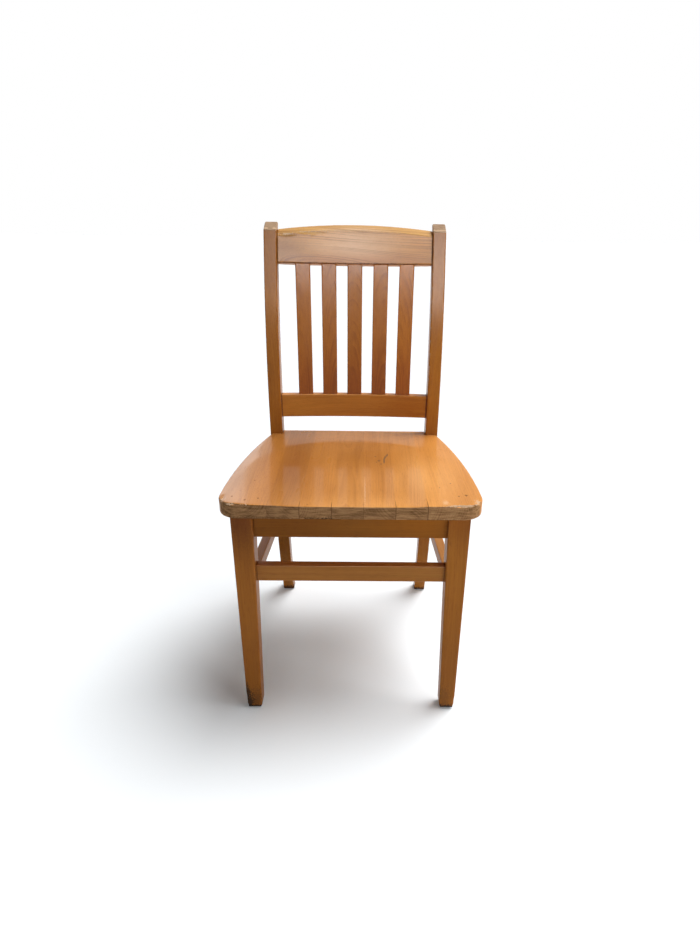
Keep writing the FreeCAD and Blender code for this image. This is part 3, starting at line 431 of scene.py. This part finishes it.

# %% [markdown]
# Broad, soft differences of tone lie over the wood, and most of them are painted light and shade.
# Each piece could be split into several materials, but the tones have no edges between them.
# A tint multiplies the wood's colour around a point and fades out, so the grain stays visible.
# It has its colour, its middle and its reach in millimetres, and how strong it is.

# %% Broad tints
# Painted light on the seat, in order: sheen along the front with its weathered edge, light from
# the right, light on the rear strip where the back shades it, the dark back reflected in the dish,
# shade on the left, haze reflected on the left margin.
SEAT_PAINTED_LIGHT = [
    ((1.36, 1.52, 1.95), (15, -262, 457), (210, 105, 40), 0.9),
    ((1.24, 1.42, 2.0), (135, -110, 455), (80, 180, 40), 0.9),
    ((1.84, 1.86, 1.2), (10, 190, 454), (220, 110, 40), 1.0),
    ((0.78, 0.72, 0.58), (25, -10, 452), (150, 125, 40), 1.0),
    ((0.6, 0.5, 0.31), (-116, -50, 455), (98, 340, 40), 1.0),
    ((0.66, 0.74, 1.35), (-217, -80, 455), (62, 480, 60), 1.0),
]
tints = {
    # Front legs: painted shade under the seat at the top, and darker low down.
    "front_leg_left": [((0.36, 0.25, 0.08), (-188, -227, 430), (60, 60, 140), 0.9),
                       ((0.85, 0.8, 0.75), (-188, -227, 110), (60, 60, 130), 0.9)],
    "front_leg_right": [((0.68, 0.56, 0.3), (188, -227, 430), (60, 60, 80), 0.75),
                        ((0.82, 0.77, 0.75), (188, -227, 110), (60, 60, 130), 0.9)],
    # Rear posts: painted shade under the seat, deeper on the left, painted light on the right
    # post's middle, and darker at the top.
    "rear_post_left": [((0.38, 0.34, 0.3), (-172, 190, 250), (80, 140, 330), 0.95),
                       ((0.84, 0.82, 0.8), (-172, 200, 850), (80, 140, 110), 0.95)],
    "rear_post_right": [((0.64, 0.55, 0.42), (172, 190, 250), (80, 140, 330), 0.95),
                        ((1.15, 1.12, 1.0), (172, 190, 600), (80, 140, 200), 0.9),
                        ((0.84, 0.82, 0.8), (172, 200, 850), (80, 140, 110), 0.95)],
    # Lower rail: darker towards its right end.
    "lower_back_rail": [((0.8, 0.66, 0.4), (125, 150, 515), (110, 60, 60), 0.9)],
    # Front seat rail: painted shade at the left end and painted light at the right.
    "front_seat_rail": [((0.78, 0.7, 0.45), (-120, -208, 400), (130, 60, 80), 0.9),
                        ((1.45, 1.4, 1.0), (130, -208, 400), (140, 60, 80), 0.9)],
    # Crest: a painted sheen on the upper middle, painted shade at the left and along the lower
    # edge.
    "crest_rail": [((1.35, 1.95, 5.6), (0, 195, 842), (130, 60, 60), 0.9),
                   ((0.46, 0.4, 0.3), (-140, 195, 830), (90, 60, 60), 0.9),
                   ((0.6, 0.4, 0.18), (0, 190, 806), (240, 40, 34), 0.9)],
}
print(len(SEAT_PAINTED_LIGHT), "tints on the seat,", sum(map(len, tints.values())), "elsewhere")

# %% [markdown]
# Every board was cut from its own place in a trunk, and its grain runs along its length.
# The figure group wants the grain along Z, so a Mapping node turns the piece's own coordinates.
# Turning the objects would do as well, but the CAD pieces have to stay where they are.
# The board's middle comes from the piece's box, so its rings are placed alike on each piece.

# %% Where a piece lay in its trunk
TURNS = {"X": (0.0, -math.pi / 2, 0.0), "Y": (math.pi / 2, 0.0, 0.0), "Z": (0.0, 0.0, 0.0)}


def board_of(tree, spot, node, grain, pith):
    """The piece's coordinates with its grain along Z; pith is the way from the trunk's axis."""
    low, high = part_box(node)
    turn = Matrix.Identity(3)
    for axis, angle in zip("XYZ", TURNS[grain]):
        turn = Matrix.Rotation(angle, 3, axis) @ turn
    middle = turn @ ((low + high) / 2)
    place = (pith[0] - middle.x, pith[1] - middle.y, -middle.z)
    return add_node(tree, "ShaderNodeMapping", spot["Object"], place, TURNS[grain]).outputs[0]


print("grain can run along", ", ".join(TURNS))

# %% [markdown]
# A tint is a soft change of the wood's tone, mostly painted light and shade, and a mark is
# something on it or gone from it.
# Each could have a group of its own, but only the edge differs: very soft for a tint.
# So both use the ragged spot, and a tint multiplies what is there, while a mark covers it.
# A mark also breaks the varnish, so all marks of a piece together say where it is broken.

# %% Tints and marks on a piece
TINT_RAGGED, TINT_SOFT = 0.4, 1.0
MARK_SOFT = 0.4


def solid(colour):
    """A colour with full alpha."""
    return (*colour, 1.0)


def metres(place):
    """A place in millimetres as metres."""
    return tuple(value / 1000 for value in place)


def spot_mask(tree, spot, middle, reach, ragged, soft, strength):
    """Where one mark or tint lies on a piece, and how strongly."""
    mask = place_group(tree, ragged_spot, {
        "Spot": spot["Object"], "Middle": metres(middle), "Reach": metres(reach),
        "Ragged": ragged, "Soft": soft})["Mask"]
    return maths(tree, "MULTIPLY", mask, strength)


def with_light_and_tone_tints(tree, spot, node, colour):
    """A colour with the piece's broad tints in it, most of them painted light and shade."""
    for tint, middle, reach, strength in tints.get(node, ()):
        mask = spot_mask(tree, spot, middle, reach, TINT_RAGGED, TINT_SOFT, strength)
        colour = mix_colour(tree, mask, colour, solid(tint), blend="MULTIPLY")
    return colour


def with_marks(tree, spot, node, colour, broken):
    """A colour with the piece's marks on it, and where its varnish is broken."""
    for stain, middle, reach, ragged, strength in marks.get(node, ()):
        mask = spot_mask(tree, spot, middle, reach, ragged, MARK_SOFT, strength)
        colour = mix_colour(tree, mask, colour, solid(stain))
        broken = maths(tree, "MAXIMUM", broken, mask)
    return colour, broken


print("tints and marks ready")

# %% [markdown]
# Varnish is a clear film on the wood, a little smudged, with the grain faintly felt through it.
# A glossy shader mixed over a matt one would show that, but the Principled shader has a coat.
# Where the varnish is broken, the surface turns dull, loses its coat and lies lower.
# Unvarnished wood has no coat at all, and its socket keeps a plain zero.

# %% Varnish
SMUDGE = 0.2
DULLER = 0.35
SUNK = -1.2
BUMP_STRENGTH, BUMP_DISTANCE = 0.15, 0.0004


def lay_varnish(tree, colour, broken, figure, roughness, shine, coat, clear):
    """Finish a material with a varnished surface."""
    height = maths(tree, "MULTIPLY_ADD", broken, SUNK, figure["Relief"])
    bump = add_node(tree, "ShaderNodeBump")
    for name, value in (("Strength", BUMP_STRENGTH), ("Distance", BUMP_DISTANCE),
                        ("Height", height)):
        fill(tree, bump.inputs[name], value)
    uneven = maths(tree, "SUBTRACT", figure["Clouds"], NOISE_MEAN)
    smudged = maths(tree, "MULTIPLY_ADD", uneven, SMUDGE, roughness)
    surface = {
        "Base Color": colour,
        "Roughness": maths(tree, "MULTIPLY_ADD", broken, DULLER, smudged, clamp=True),
        "Specular IOR Level": shine,
        "Coat Weight": maths(tree, "MULTIPLY_ADD", broken, -coat, coat) if coat else 0.0,
        "Coat Roughness": clear,
        "Normal": bump.outputs[0],
    }
    shader = add_node(tree, "ShaderNodeBsdfPrincipled")
    for name, value in surface.items():
        fill(tree, shader.inputs[name], value)
    add_node(tree, "ShaderNodeOutputMaterial", shader.outputs[0])


print("varnish ready")

# %% [markdown]
# One function now makes the finished wood of any piece, layer over layer.
# First comes the figure with its tints, then rubbed edges, cut ends and marks.
# The varnish comes last, because it needs to know where all of these have broken it.
# One material for the whole chair would be shorter, but no two of its boards are alike.

# %% Varnished wood of a piece
AXES = {"X": (1.0, 0.0, 0.0), "Y": (0.0, 1.0, 0.0), "Z": (0.0, 0.0, 1.0)}
BROWN_ENDS = ((0.46, 0.28, 0.13), (0.20, 0.10, 0.04))
DEEPER = (0.60, 0.50, 0.40)
RUBBED_GAIN, RUBBED_LIFT = 1.25, 0.04
TOP_FROM, TOP_FULL = 0.3, 0.55


def varnished(node, grain, light, seed, pith=(0.3, 0.2), ring=0.004, slant=0.02, wander=0.012,
              rings=0.2, streaks=0.8, roughness=0.38, shine=0.1, coat=0.04, clear=0.16,
              ends=BROWN_ENDS, top=None, rub=0.4):
    """Varnished wood for one piece."""
    material = bpy.data.materials.new(f"wood of {node}")
    material.use_nodes = True
    tree = material.node_tree
    tree.nodes.clear()
    spot = add_node(tree, "ShaderNodeTexCoord").outputs
    board = board_of(tree, spot, node, grain, pith)
    dark = tuple(value * share for value, share in zip(light, DEEPER))
    figure = place_group(tree, board_figure, {
        "Board": board, "Seed": float(seed), "Ring Width": ring, "Slant": slant,
        "Wander": wander, "Rings": rings, "Streaks": streaks, "Light": solid(light),
        "Dark": solid(dark)})
    colour = with_light_and_tone_tints(tree, spot, node, figure["Color"])
    # Faces that point up are made lighter: painted light from above.
    if top:
        upward = ramp(tree, parts_of(tree, spot["Normal"])["Z"], TOP_FROM, TOP_FULL)
        lit_top_colour = mix_colour(tree, 1.0, colour, solid(top), blend="MULTIPLY")
        colour = mix_colour(tree, upward, colour, lit_top_colour)
    if rub:
        rubbed = place_group(tree, rubbed_edges, {
            "Normal": spot["Normal"], "Spot": spot["Object"], "Amount": rub})["Mask"]
        pale = tuple(min(1.0, value * RUBBED_GAIN + RUBBED_LIFT) for value in light)
        colour = mix_colour(tree, rubbed, colour, solid(pale))
    ended = place_group(tree, cut_end, {
        "Normal": spot["Normal"], "Grain": AXES[grain], "Board": board, "Color": colour,
        "Figure": figure["Figure"], "Relief": figure["Relief"], "End Light": solid(ends[0]),
        "End Dark": solid(ends[1])})
    colour, broken = with_marks(tree, spot, node, ended["Color"], ended["End"])
    lay_varnish(tree, colour, broken, figure, roughness, shine, coat, clear)
    return material


def dress(node, grain, light, seed, **finish):
    """Varnish a CAD piece."""
    slots = nodes[node].data.materials
    slots.clear()
    slots.append(varnished(node, grain, light, seed, **finish))


print("varnished wood ready")

# %% [markdown]
# Legs, posts, rails and stretchers are straight-grained sticks, as a wild grain would break.
# Their trunk's axis could be close, but then long arches would show on every stick.
# So it is far away, and the rings pass through them as almost straight, faint lines.
# The tops of the stretchers are paler: painted light from above, with some rubbing by heels.

# %% Legs, posts, seat rails and stretchers
# These tones are partly painted light: legs and seat rails are set darker, as painted shade under
# the seat, and the posts lighter, as painted light on the back.
LEG_TONE = (0.37, 0.131, 0.0145)
POST_TONE = (0.44, 0.162, 0.0185)
POST_ENDS = ((0.54, 0.37, 0.235), (0.27, 0.15, 0.08))
RAIL_TONE = (0.235, 0.084, 0.0095)
STRETCHER_TONE = (0.365, 0.141, 0.024)
# Painted light on the stretchers' tops, with some wear.
SIDE_TOP, CROSS_TOP = (1.5, 1.8, 2.8), (1.5, 1.5, 1.7)
for index, side in enumerate(("left", "right")):
    dress(f"front_leg_{side}", "Z", LEG_TONE, 1 + index, shine=0.08)
    dress(f"rear_post_{side}", "Z", POST_TONE, 3 + index, roughness=0.28, shine=0.085,
          ends=POST_ENDS)
    dress(f"side_seat_rail_{side}", "Y", RAIL_TONE, 5 + index)
    dress(f"side_stretcher_{side}", "Y", STRETCHER_TONE, 7 + index, top=SIDE_TOP)
for index, end in enumerate(("front", "rear")):
    dress(f"{end}_seat_rail", "X", RAIL_TONE, 9 + index, shine=0.05)
    dress(f"{end}_stretcher", "X", STRETCHER_TONE, 11 + index, top=CROSS_TOP)
print("legs, posts, seat rails and stretchers varnished")

# %% [markdown]
# The two back rails are flat boards, and the crest is cut near the middle of its trunk.
# There the rings meet its face at a low angle and draw long, slanting lines.
# Painted lines would stop at the board's edges, so the trunk's axis is set close and leans.
# The crest is paler than the rest, partly as painted light on the back, and its top is painted
# lighter still, as lit from above.

# %% Crest and lower rail
# The crest's top is painted lighter, as lit from above, and the lower rail's top likewise.
CREST_TONE, CREST_TOP = (0.69, 0.31, 0.066), (1.13, 1.38, 1.9)
LOWER_TONE, LOWER_TOP = (0.56, 0.225, 0.03), (1.3, 1.3, 1.4)
dress("crest_rail", "X", CREST_TONE, 13, pith=(-0.035, 0.03), ring=0.007, slant=0.14,
      wander=0.03, rings=0.75, streaks=0.6, shine=0.13, top=CREST_TOP, rub=0.0)
dress("lower_back_rail", "X", LOWER_TONE, 14, ring=0.005, top=LOWER_TOP)
print("crest and lower rail varnished")

# %% [markdown]
# The five slats are thin flat boards, cut near the middle of the trunk as well.
# One material would do for all, but then every slat would show the same arches.
# So each has its own shade, its own place in the trunk and its own lean.
# Low down, near the seat, their colour is deeper: painted shade.

# %% Slats
# The slats' tone is lighter than the legs' wood, partly as painted light on the back.
SLAT_TONE = (0.47, 0.156, 0.012)
LOW_SHADE = (0.78, 0.62, 0.4)
HALF_SLAT = 15  # millimetres
# The fifth slat, on the right, is lighter: painted light from the right.
# Shade, way from the trunk's axis, lean.
SLAT_CUTS = ((1.0, 0.012, 0.02), (1.0, -0.016, -0.025), (0.98, 0.004, 0.022),
             (1.02, -0.01, -0.02), (1.18, 0.02, 0.015))
for index, (shade, aside, lean) in enumerate(SLAT_CUTS):
    node = f"back_slat_{index + 1}"
    tone = tuple(value * shade for value in SLAT_TONE)
    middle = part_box(node)[0].x * 1000 + HALF_SLAT
    tints[node] = [(LOW_SHADE, (middle, 160, 545), (60, 90, 130), 0.95)]
    dress(node, "Z", tone, 20 + index, pith=(aside, 0.03), ring=0.006, slant=lean, wander=0.006,
          rings=0.45, roughness=0.18, shine=0.155)
print(len(SLAT_CUTS), "slats varnished")

# %% [markdown]
# The seat is glued up from seven boards, each from another part of the tree.
# One wood for the whole seat would run straight across the seams, so each board has its own cut.
# The seat has the thickest varnish of all and mirrors the back at a low angle.
# So it gets a clear coat, which is worn thinner on the last board.

# %% Seat
# The seat's tone is set lighter than the legs' wood, partly as painted light from above, and its
# cut ends darker, partly as painted shade.
SEAT_TONE = (0.66, 0.278, 0.06)
SEAT_ENDS = ((0.4, 0.215, 0.095), (0.11, 0.048, 0.015))
THICK_COAT, THIN_COAT = 0.28, 0.14
# The last boards on the right are lighter: partly their own tone and partly painted light from the
# right.
# Shade, shade of the cut ends, way from the trunk's axis aside and under, coat.
STAVE_CUTS = (
    (1.0, 0.86, 0.02, 0.05, THICK_COAT),
    (0.92, 0.84, -0.03, 0.04, THICK_COAT),
    (1.0, 0.96, 0.06, 0.03, THICK_COAT),
    (0.95, 0.92, 0.0, 0.06, THICK_COAT),
    (1.02, 0.94, -0.05, 0.045, THICK_COAT),
    (1.06, 1.02, 0.03, -0.05, THICK_COAT),
    (1.14, 1.12, 0.08, 0.02, THIN_COAT),
)
for index, (shade, end_shade, aside, under, coat) in enumerate(STAVE_CUTS):
    node = f"seat_stave_{index + 1}"
    low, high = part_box(node)
    tints[node] = SEAT_PAINTED_LIGHT
    marks[node] = [mark for mark in seat_marks
                   if low.x * 1000 - mark[2][0] < mark[1][0] < high.x * 1000 + mark[2][0]]
    tone = tuple(value * shade for value in SEAT_TONE)
    ends = [tuple(value * end_shade for value in end_tone) for end_tone in SEAT_ENDS]
    dress(node, "Y", tone, 30 + index, pith=(aside, under), rings=0.22, wander=0.03,
          streaks=0.35, roughness=0.3, shine=0.04, coat=coat, clear=0.09, ends=ends, rub=0.0)
print(len(STAVE_CUTS), "boards of the seat varnished")

# %% [markdown]
# The corner blocks under the seat were never stained or varnished.
# They are pale, dry wood with a rough sawn face, and the same function gives that without a coat.
# The screws that hold them and the seat are dull steel.
# One plain grey would look like plastic, so an uneven tarnish changes their gloss and colour.

# %% Corner blocks and screws
BLOCK_TONE = (0.52, 0.36, 0.2)
for index, end in enumerate(("front", "rear")):
    for side in ("left", "right"):
        dress(f"corner_block_{end}_{side}", "X", BLOCK_TONE, 40 + index, roughness=0.65,
              shine=0.2, coat=0.0)

TARNISH_STRETCH = (900.0, 900.0, 900.0)
BRIGHT_STEEL, DULL_STEEL = (0.5, 0.5, 0.5), (0.33, 0.32, 0.31)
steel = bpy.data.materials.new("screw steel")
steel.use_nodes = True
tree = steel.node_tree
steel_in = tree.nodes["Principled BSDF"].inputs
steel_in["Metallic"].default_value = 1.0
spot = add_node(tree, "ShaderNodeTexCoord").outputs
tarnish = noise(tree, spot["Object"], TARNISH_STRETCH)["Fac"]
fill(tree, steel_in["Roughness"], ramp(tree, tarnish, 0.3, 0.7, 0.3, 0.55))
fill(tree, steel_in["Base Color"],
     mix_colour(tree, tarnish, solid(BRIGHT_STEEL), solid(DULL_STEEL)))
for node in ("seat_screws", "leg_screws"):
    nodes[node].data.materials.clear()
    nodes[node].data.materials.append(steel)
print("blocks and screws finished")

# %% [markdown]
# Use has also worn the shape: the front feet are knocked round, and the crest's arris is chipped.
# Sculpting would give that by hand, but a lesson has to give the same chair each time.
# So a copy of the CAD piece is meshed evenly and worn where a list says so.
# All wear goes inwards, so the chair keeps its size.
# A CAD mesh is loose triangles, and the copy's doubles are merged before anything is done to it.

# %% Helpers for worn pieces
SAME_POINT = 0.00002


def pick(*chosen):
    """Select these objects alone, the last one active."""
    bpy.ops.object.select_all(action="DESELECT")
    for item in chosen:
        item.select_set(True)
    bpy.context.view_layer.objects.active = chosen[-1]


def shape_with(piece, kind, **settings):
    """Add a modifier to a piece and apply it."""
    modifier = piece.modifiers.new(kind.lower(), kind)
    for name, value in settings.items():
        setattr(modifier, name, value)
    pick(piece)
    bpy.ops.object.modifier_apply(modifier=modifier.name)


def loose_copy(name, copied):
    """One free object from copies of CAD pieces, with its doubles merged."""
    pick(*(nodes[node] for node in copied))
    bpy.ops.object.duplicate()
    bpy.ops.object.parent_clear(type="CLEAR")
    if len(copied) > 1:
        bpy.ops.object.join()
    piece = bpy.context.object
    piece.name = name
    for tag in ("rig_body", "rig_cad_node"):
        del piece[tag]
    bpy.ops.object.mode_set(mode="EDIT")
    bpy.ops.mesh.select_all(action="SELECT")
    bpy.ops.mesh.remove_doubles(threshold=SAME_POINT)
    bpy.ops.mesh.select_all(action="DESELECT")
    bpy.ops.mesh.select_mode(type="FACE")
    bpy.ops.object.mode_set(mode="OBJECT")
    return piece


print("helpers for worn pieces ready")

# %% [markdown]
# A worn place is a middle and a reach, as for the marks, and fades out towards its edge.
# The weights of a vertex group say how worn each point is.
# Two modifiers read them: Smooth takes the arris off, and Displace bites into what is left.
# A bump in the material would be less work, but the outline would stay sharp.
# The noise is harsh, so that whole and bitten places lie side by side, as on splintered wood.

# %% Wear
UNDERSIDE = -0.7
FADE = 1.6
BITE_LEVEL = 1.6
splinters = bpy.data.textures.new("splinters", "CLOUDS")
splinters.noise_scale = 0.005
splinters.contrast = 2.5


def weigh(piece, name, weight_of):
    """A vertex group with a weight worked out for each vertex."""
    group = piece.vertex_groups.new(name=name)
    for vertex in piece.data.vertices:
        weight = weight_of(vertex.co, vertex.normal)
        if weight > 0.0:
            group.add([vertex.index], weight, "REPLACE")


def wear(piece, places, depth):
    """Bite into a piece around places in millimetres, but not into what it stands on."""
    spots = [(Vector(metres(middle)), Vector(metres(reach))) for middle, reach in places]

    def worn(point, normal):
        if normal.z < UNDERSIDE:
            return 0.0
        away = [Vector((p - m) / r for p, m, r in zip(point, middle, reach)).length
                for middle, reach in spots]
        return min(1.0, max(0.0, FADE - FADE * min(away)))

    weigh(piece, "worn", worn)
    shape_with(piece, "SMOOTH", vertex_group="worn", factor=0.5, iterations=4)
    shape_with(piece, "DISPLACE", texture=splinters, texture_coords="LOCAL", vertex_group="worn",
               mid_level=BITE_LEVEL, strength=depth)


print("wear ready with texture", splinters.name)

# %% [markdown]
# A foot that is dragged over floors loses its corners.
# A bevel would round them all alike and would need the sole's own edges.
# On an even mesh it is simpler to scale the sole down with proportional editing.
# The leg above follows, less and less up to a height, and the sole stays on the floor.

# %% Feet drawn in
SOLE_SIDEWAYS, SOLE_FRONT, SOLE_HEIGHT = 0.006, 0.002, 0.012  # metres
SOLE_TOP = 0.0004


def draw_in_sole(piece):
    """Draw in the sole of a leg, more from the sides than from the front."""
    pick(piece)
    bpy.ops.object.mode_set(mode="EDIT")
    bpy.ops.mesh.select_mode(type="VERT")
    bpy.ops.mesh.select_all(action="DESELECT")
    bpy.ops.object.mode_set(mode="OBJECT")
    for vertex in piece.data.vertices:
        vertex.select = vertex.co.z < SOLE_TOP
    sole = [vertex.co.copy() for vertex in piece.data.vertices if vertex.select]
    middle = sum(sole, Vector()) / len(sole)
    half = max((point - middle).x for point in sole)
    bpy.ops.object.mode_set(mode="EDIT")
    bpy.ops.transform.resize(
        value=(1.0 - SOLE_SIDEWAYS / half, 1.0 - SOLE_FRONT / half, 1.0), center_override=middle,
        use_proportional_edit=True, proportional_edit_falloff="SHARP",
        proportional_size=SOLE_HEIGHT)
    bpy.ops.object.mode_set(mode="OBJECT")
    print("sole of", piece.name, "drawn in with", len(sole), "points")


print("soles will be drawn in by", SOLE_SIDEWAYS * 1000, "mm")

# %% [markdown]
# The front legs and the crest are the most knocked about, so they get worn shapes.
# The other sticks show little wear, so they keep their CAD shape, which has far fewer faces.
# Each worn piece stands for its CAD node and takes over its wood.
# Thinning the mesh at the end keeps the chips and drops the points that lie flat.

# %% Worn legs and crest
SMOOTH_ANGLE = math.radians(40)
MESH_STEP, MESH_KEPT = 0.0014, 0.3
BITE_DEPTH = 0.0012


def stand_in(piece, node):
    """Let a worn piece stand for its CAD node, with that node's wood."""
    piece.data.materials.clear()
    piece.data.materials.append(nodes[node].data.materials[0])
    piece.vertex_groups.clear()
    pick(piece)
    bpy.ops.object.shade_smooth_by_angle(angle=SMOOTH_ANGLE)
    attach(piece, "root")
    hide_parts(node)
    print(piece.name, "stands for", node, "with", len(piece.data.polygons), "faces")


worn_places = {
    ("front_leg_left", "leg_wood"): [
        ((-188, -208, 0), (60, 60, 9)), ((-206, -227, 12), (7, 7, 30)),
        ((-207, -227, 250), (2, 2, 90))],
    ("front_leg_right", "leg_wood"): [
        ((188, -208, 0), (60, 60, 8)), ((207, -227, 10), (6, 6, 24)),
        ((207, -227, 300), (2, 2, 80))],
    ("crest_rail", "crest_wood"): [
        ((-140, 206, 858), (26, 6, 4)), ((-92, 211, 862), (40, 5, 3))],
}
for (node, slot), places in worn_places.items():
    piece = loose_copy(f"worn_{node}", [node])
    shape_with(piece, "REMESH", mode="VOXEL", voxel_size=MESH_STEP)
    if slot == "leg_wood":
        draw_in_sole(piece)
    wear(piece, places, BITE_DEPTH)
    shape_with(piece, "DECIMATE", ratio=MESH_KEPT)
    stand_in(piece, node)

# %% [markdown]
# The seat's boards were glued up first and then scooped and sanded as one.
# Worn one by one, they would part at their seams, so they are worn as one as well.
# Their copies are joined, the walls between them are taken out, and the seat is meshed evenly.
# Smoothing the top makes the rim of the dish as soft as years of sitting have made it.

# %% Worn seat
SEAT_STEP, SEAT_KEPT = 0.002, 0.35
SEAT_BITE_DEPTH = 0.0013
SEAM_WALL, AT_SEAM = 0.99, 0.0001
UPWARD = 0.985
SEAT_PLACES = [((-219, -216, 455), (6, 20, 4)), ((-200, -237, 456), (26, 4, 3)),
               ((186, -238, 456), (36, 4, 3)), ((218, -218, 455), (6, 18, 3)),
               ((-45, -238, 429), (46, 6, 4))]
staves = [f"seat_stave_{index}" for index in range(1, 8)]
seat = loose_copy("worn_seat", staves)
for face in seat.data.polygons:
    from_seam = min(abs(face.center.x - seam / 1000) for seam, _ in SEAMS)
    face.select = abs(face.normal.x) > SEAM_WALL and from_seam < AT_SEAM
bpy.ops.object.mode_set(mode="EDIT")
bpy.ops.mesh.delete(type="FACE")
bpy.ops.object.mode_set(mode="OBJECT")
shape_with(seat, "REMESH", mode="VOXEL", voxel_size=SEAT_STEP)
weigh(seat, "top", lambda point, normal: 1.0 if normal.z > UPWARD else 0.0)
shape_with(seat, "SMOOTH", vertex_group="top", factor=0.5, iterations=40)
wear(seat, SEAT_PLACES, SEAT_BITE_DEPTH)
shape_with(seat, "DECIMATE", ratio=SEAT_KEPT)
print("worn seat has", len(seat.data.polygons), "faces")

# %% [markdown]
# Now the seat is sawn apart again, so that each board stays a piece with its own wood.
# One mesh with seven materials would look the same, but no board could be taken out again.
# A copy of the seat is cut at the two seams beside a board, and the cuts are closed.

# %% Seat sawn into its boards
cuts = [None, *(seam / 1000 for seam, _ in SEAMS), None]
for node, left, right in zip(staves, cuts, cuts[1:]):
    pick(seat)
    bpy.ops.object.duplicate()
    board = bpy.context.object
    board.name = f"worn_{node}"
    bpy.ops.object.mode_set(mode="EDIT")
    for cut, inner in ((left, True), (right, False)):
        if cut is not None:
            bpy.ops.mesh.select_all(action="SELECT")
            bpy.ops.mesh.bisect(plane_co=(cut, 0.0, 0.44), plane_no=(1.0, 0.0, 0.0),
                                use_fill=True, clear_inner=inner, clear_outer=not inner)
    bpy.ops.object.mode_set(mode="OBJECT")
    stand_in(board, node)
bpy.data.objects.remove(seat)

# %% [markdown]
# The chair stands on a white floor in a white room.
# More light on the floor would make it white, but it would also wash out the shadow.
# So it is a pale matt floor with a little light of its own.
# That light shows only to the camera, in mirrors and through glass, and doesn't light the chair.

# %% White floor
WHITE = (1.0, 1.0, 1.0)
FLOOR_TONE, FLOOR_LIFT = (0.865, 0.9, 0.925), 0.095
FLOOR_SIZE, UNDER_FEET = 60.0, -0.0004


def shown_rays(tree):
    """One for rays that see the background: from the camera, from a gloss or through glass."""
    rays = add_node(tree, "ShaderNodeLightPath").outputs
    seen = maths(tree, "ADD", rays["Is Camera Ray"], rays["Is Glossy Ray"])
    return maths(tree, "ADD", seen, rays["Is Transmission Ray"], clamp=True)


bpy.ops.object.select_all(action="DESELECT")
bpy.ops.mesh.primitive_plane_add(size=FLOOR_SIZE, location=(0.0, 0.0, UNDER_FEET))
floor = bpy.context.object
floor.name = "floor"
floor_material = bpy.data.materials.new("white floor")
floor_material.use_nodes = True
tree = floor_material.node_tree
tree.nodes.clear()
matt = add_node(tree, "ShaderNodeBsdfDiffuse", solid(FLOOR_TONE))
lift_strength = maths(tree, "MULTIPLY", shown_rays(tree), FLOOR_LIFT)
lift = add_node(tree, "ShaderNodeEmission", solid(WHITE), lift_strength)
both = add_node(tree, "ShaderNodeAddShader", matt.outputs[0], lift.outputs[0])
add_node(tree, "ShaderNodeOutputMaterial", both.outputs[0])
floor.data.materials.append(floor_material)
print("floor", FLOOR_SIZE, "m wide")

# %% [markdown]
# The room around is a plain white world.
# At full strength it would light the chair from all sides and leave hardly any shadow.
# So it looks white, and gives only a little of that as light.

# %% White room
ROOM_LIGHT = 0.12
world = bpy.data.worlds.new("white room")
bpy.context.scene.world = world
world.use_nodes = True
tree = world.node_tree
tree.nodes.clear()
strength = maths(tree, "MULTIPLY_ADD", shown_rays(tree), 1.0 - ROOM_LIGHT, ROOM_LIGHT)
background = add_node(tree, "ShaderNodeBackground", solid(WHITE), strength)
add_node(tree, "ShaderNodeOutputWorld", background.outputs[0])
print("room is white and lights the chair at", ROOM_LIGHT)

# %% [markdown]
# The soft shadow lies in front and to the left.
# So the main light is high, behind, to the right and very broad.
# A large softbox would fade with distance, while a sun lamp with a wide disc is even all over.
# A small softbox to the right fills the front, weaker towards the left, and leaves no highlight.
# Two cards show only in the gloss: in front for the crest and slats, behind for the seat's left.

# %% Lights
SUN_STRENGTH, SUN_DISC, SUN_FROM = 3.45, math.radians(41), (1.35, 0.65, 3.0)
CHAIR_BACK = (0.0, 0.2, 0.85)


def aim(lamp, place, target):
    """Stand a lamp at a place and point it at a target."""
    lamp.location = place
    lamp.rotation_euler = (Vector(target) - Vector(place)).to_track_quat("-Z", "Y").to_euler()


def soft_panel(name, size, power, place):
    """A rectangular lamp that points at the chair's back."""
    bpy.ops.object.light_add(type="AREA")
    panel = bpy.context.object
    panel.name = name
    panel.data.shape = "RECTANGLE"
    panel.data.size, panel.data.size_y = size
    panel.data.energy = power
    aim(panel, place, CHAIR_BACK)
    return panel


bpy.ops.object.light_add(type="SUN")
overhead = bpy.context.object
overhead.name = "overhead light"
overhead.data.energy = SUN_STRENGTH
overhead.data.angle = SUN_DISC
aim(overhead, SUN_FROM, (0.0, 0.0, 0.0))
fill_light = soft_panel("fill light", (0.7, 0.7), 6.5, (1.1, -1.15, 0.85))
fill_light.visible_glossy = False
for card in (soft_panel("front gloss card", (2.1, 1.9), 310.0, (0.4, -3.1, 2.55)),
             soft_panel("rear gloss card", (1.5, 1.2), 13.5, (-1.45, 3.0, 1.75))):
    card.visible_diffuse = False
    card.visible_camera = False
print("one sun, one softbox and two cards")

# %% [markdown]
# The photograph was taken from about the height of a waist, tilted down, with a wide lens.
# A camera can be set by eye, but these numbers come from fitting the chair to the photograph.
# The lens's middle is not the picture's middle, which the camera's shift makes up for.

# %% Camera
CAMERA_PLACE = (0.01935, -1.15886, 0.88975)
PAN, TILT_DOWN, ROLL = -0.86, 25.54, 0.86  # degrees
bpy.ops.object.camera_add(location=CAMERA_PLACE)
camera = bpy.context.object
pan = Matrix.Rotation(math.radians(PAN), 3, "Z")
pitch = Matrix.Rotation(math.radians(90 - TILT_DOWN), 3, "X")
roll = Matrix.Rotation(math.radians(ROLL), 3, "Z")
camera.rotation_euler = (pan @ pitch @ roll).to_euler()
camera.data.sensor_width = 36.0
camera.data.lens = 23.52
camera.data.shift_x = -0.0219
camera.data.shift_y = 0.0457
camera.data.clip_start = 0.01
bpy.context.scene.camera = camera
bpy.context.scene.view_settings.view_transform = "Standard"
print("camera at", tuple(round(value, 3) for value in camera.location))
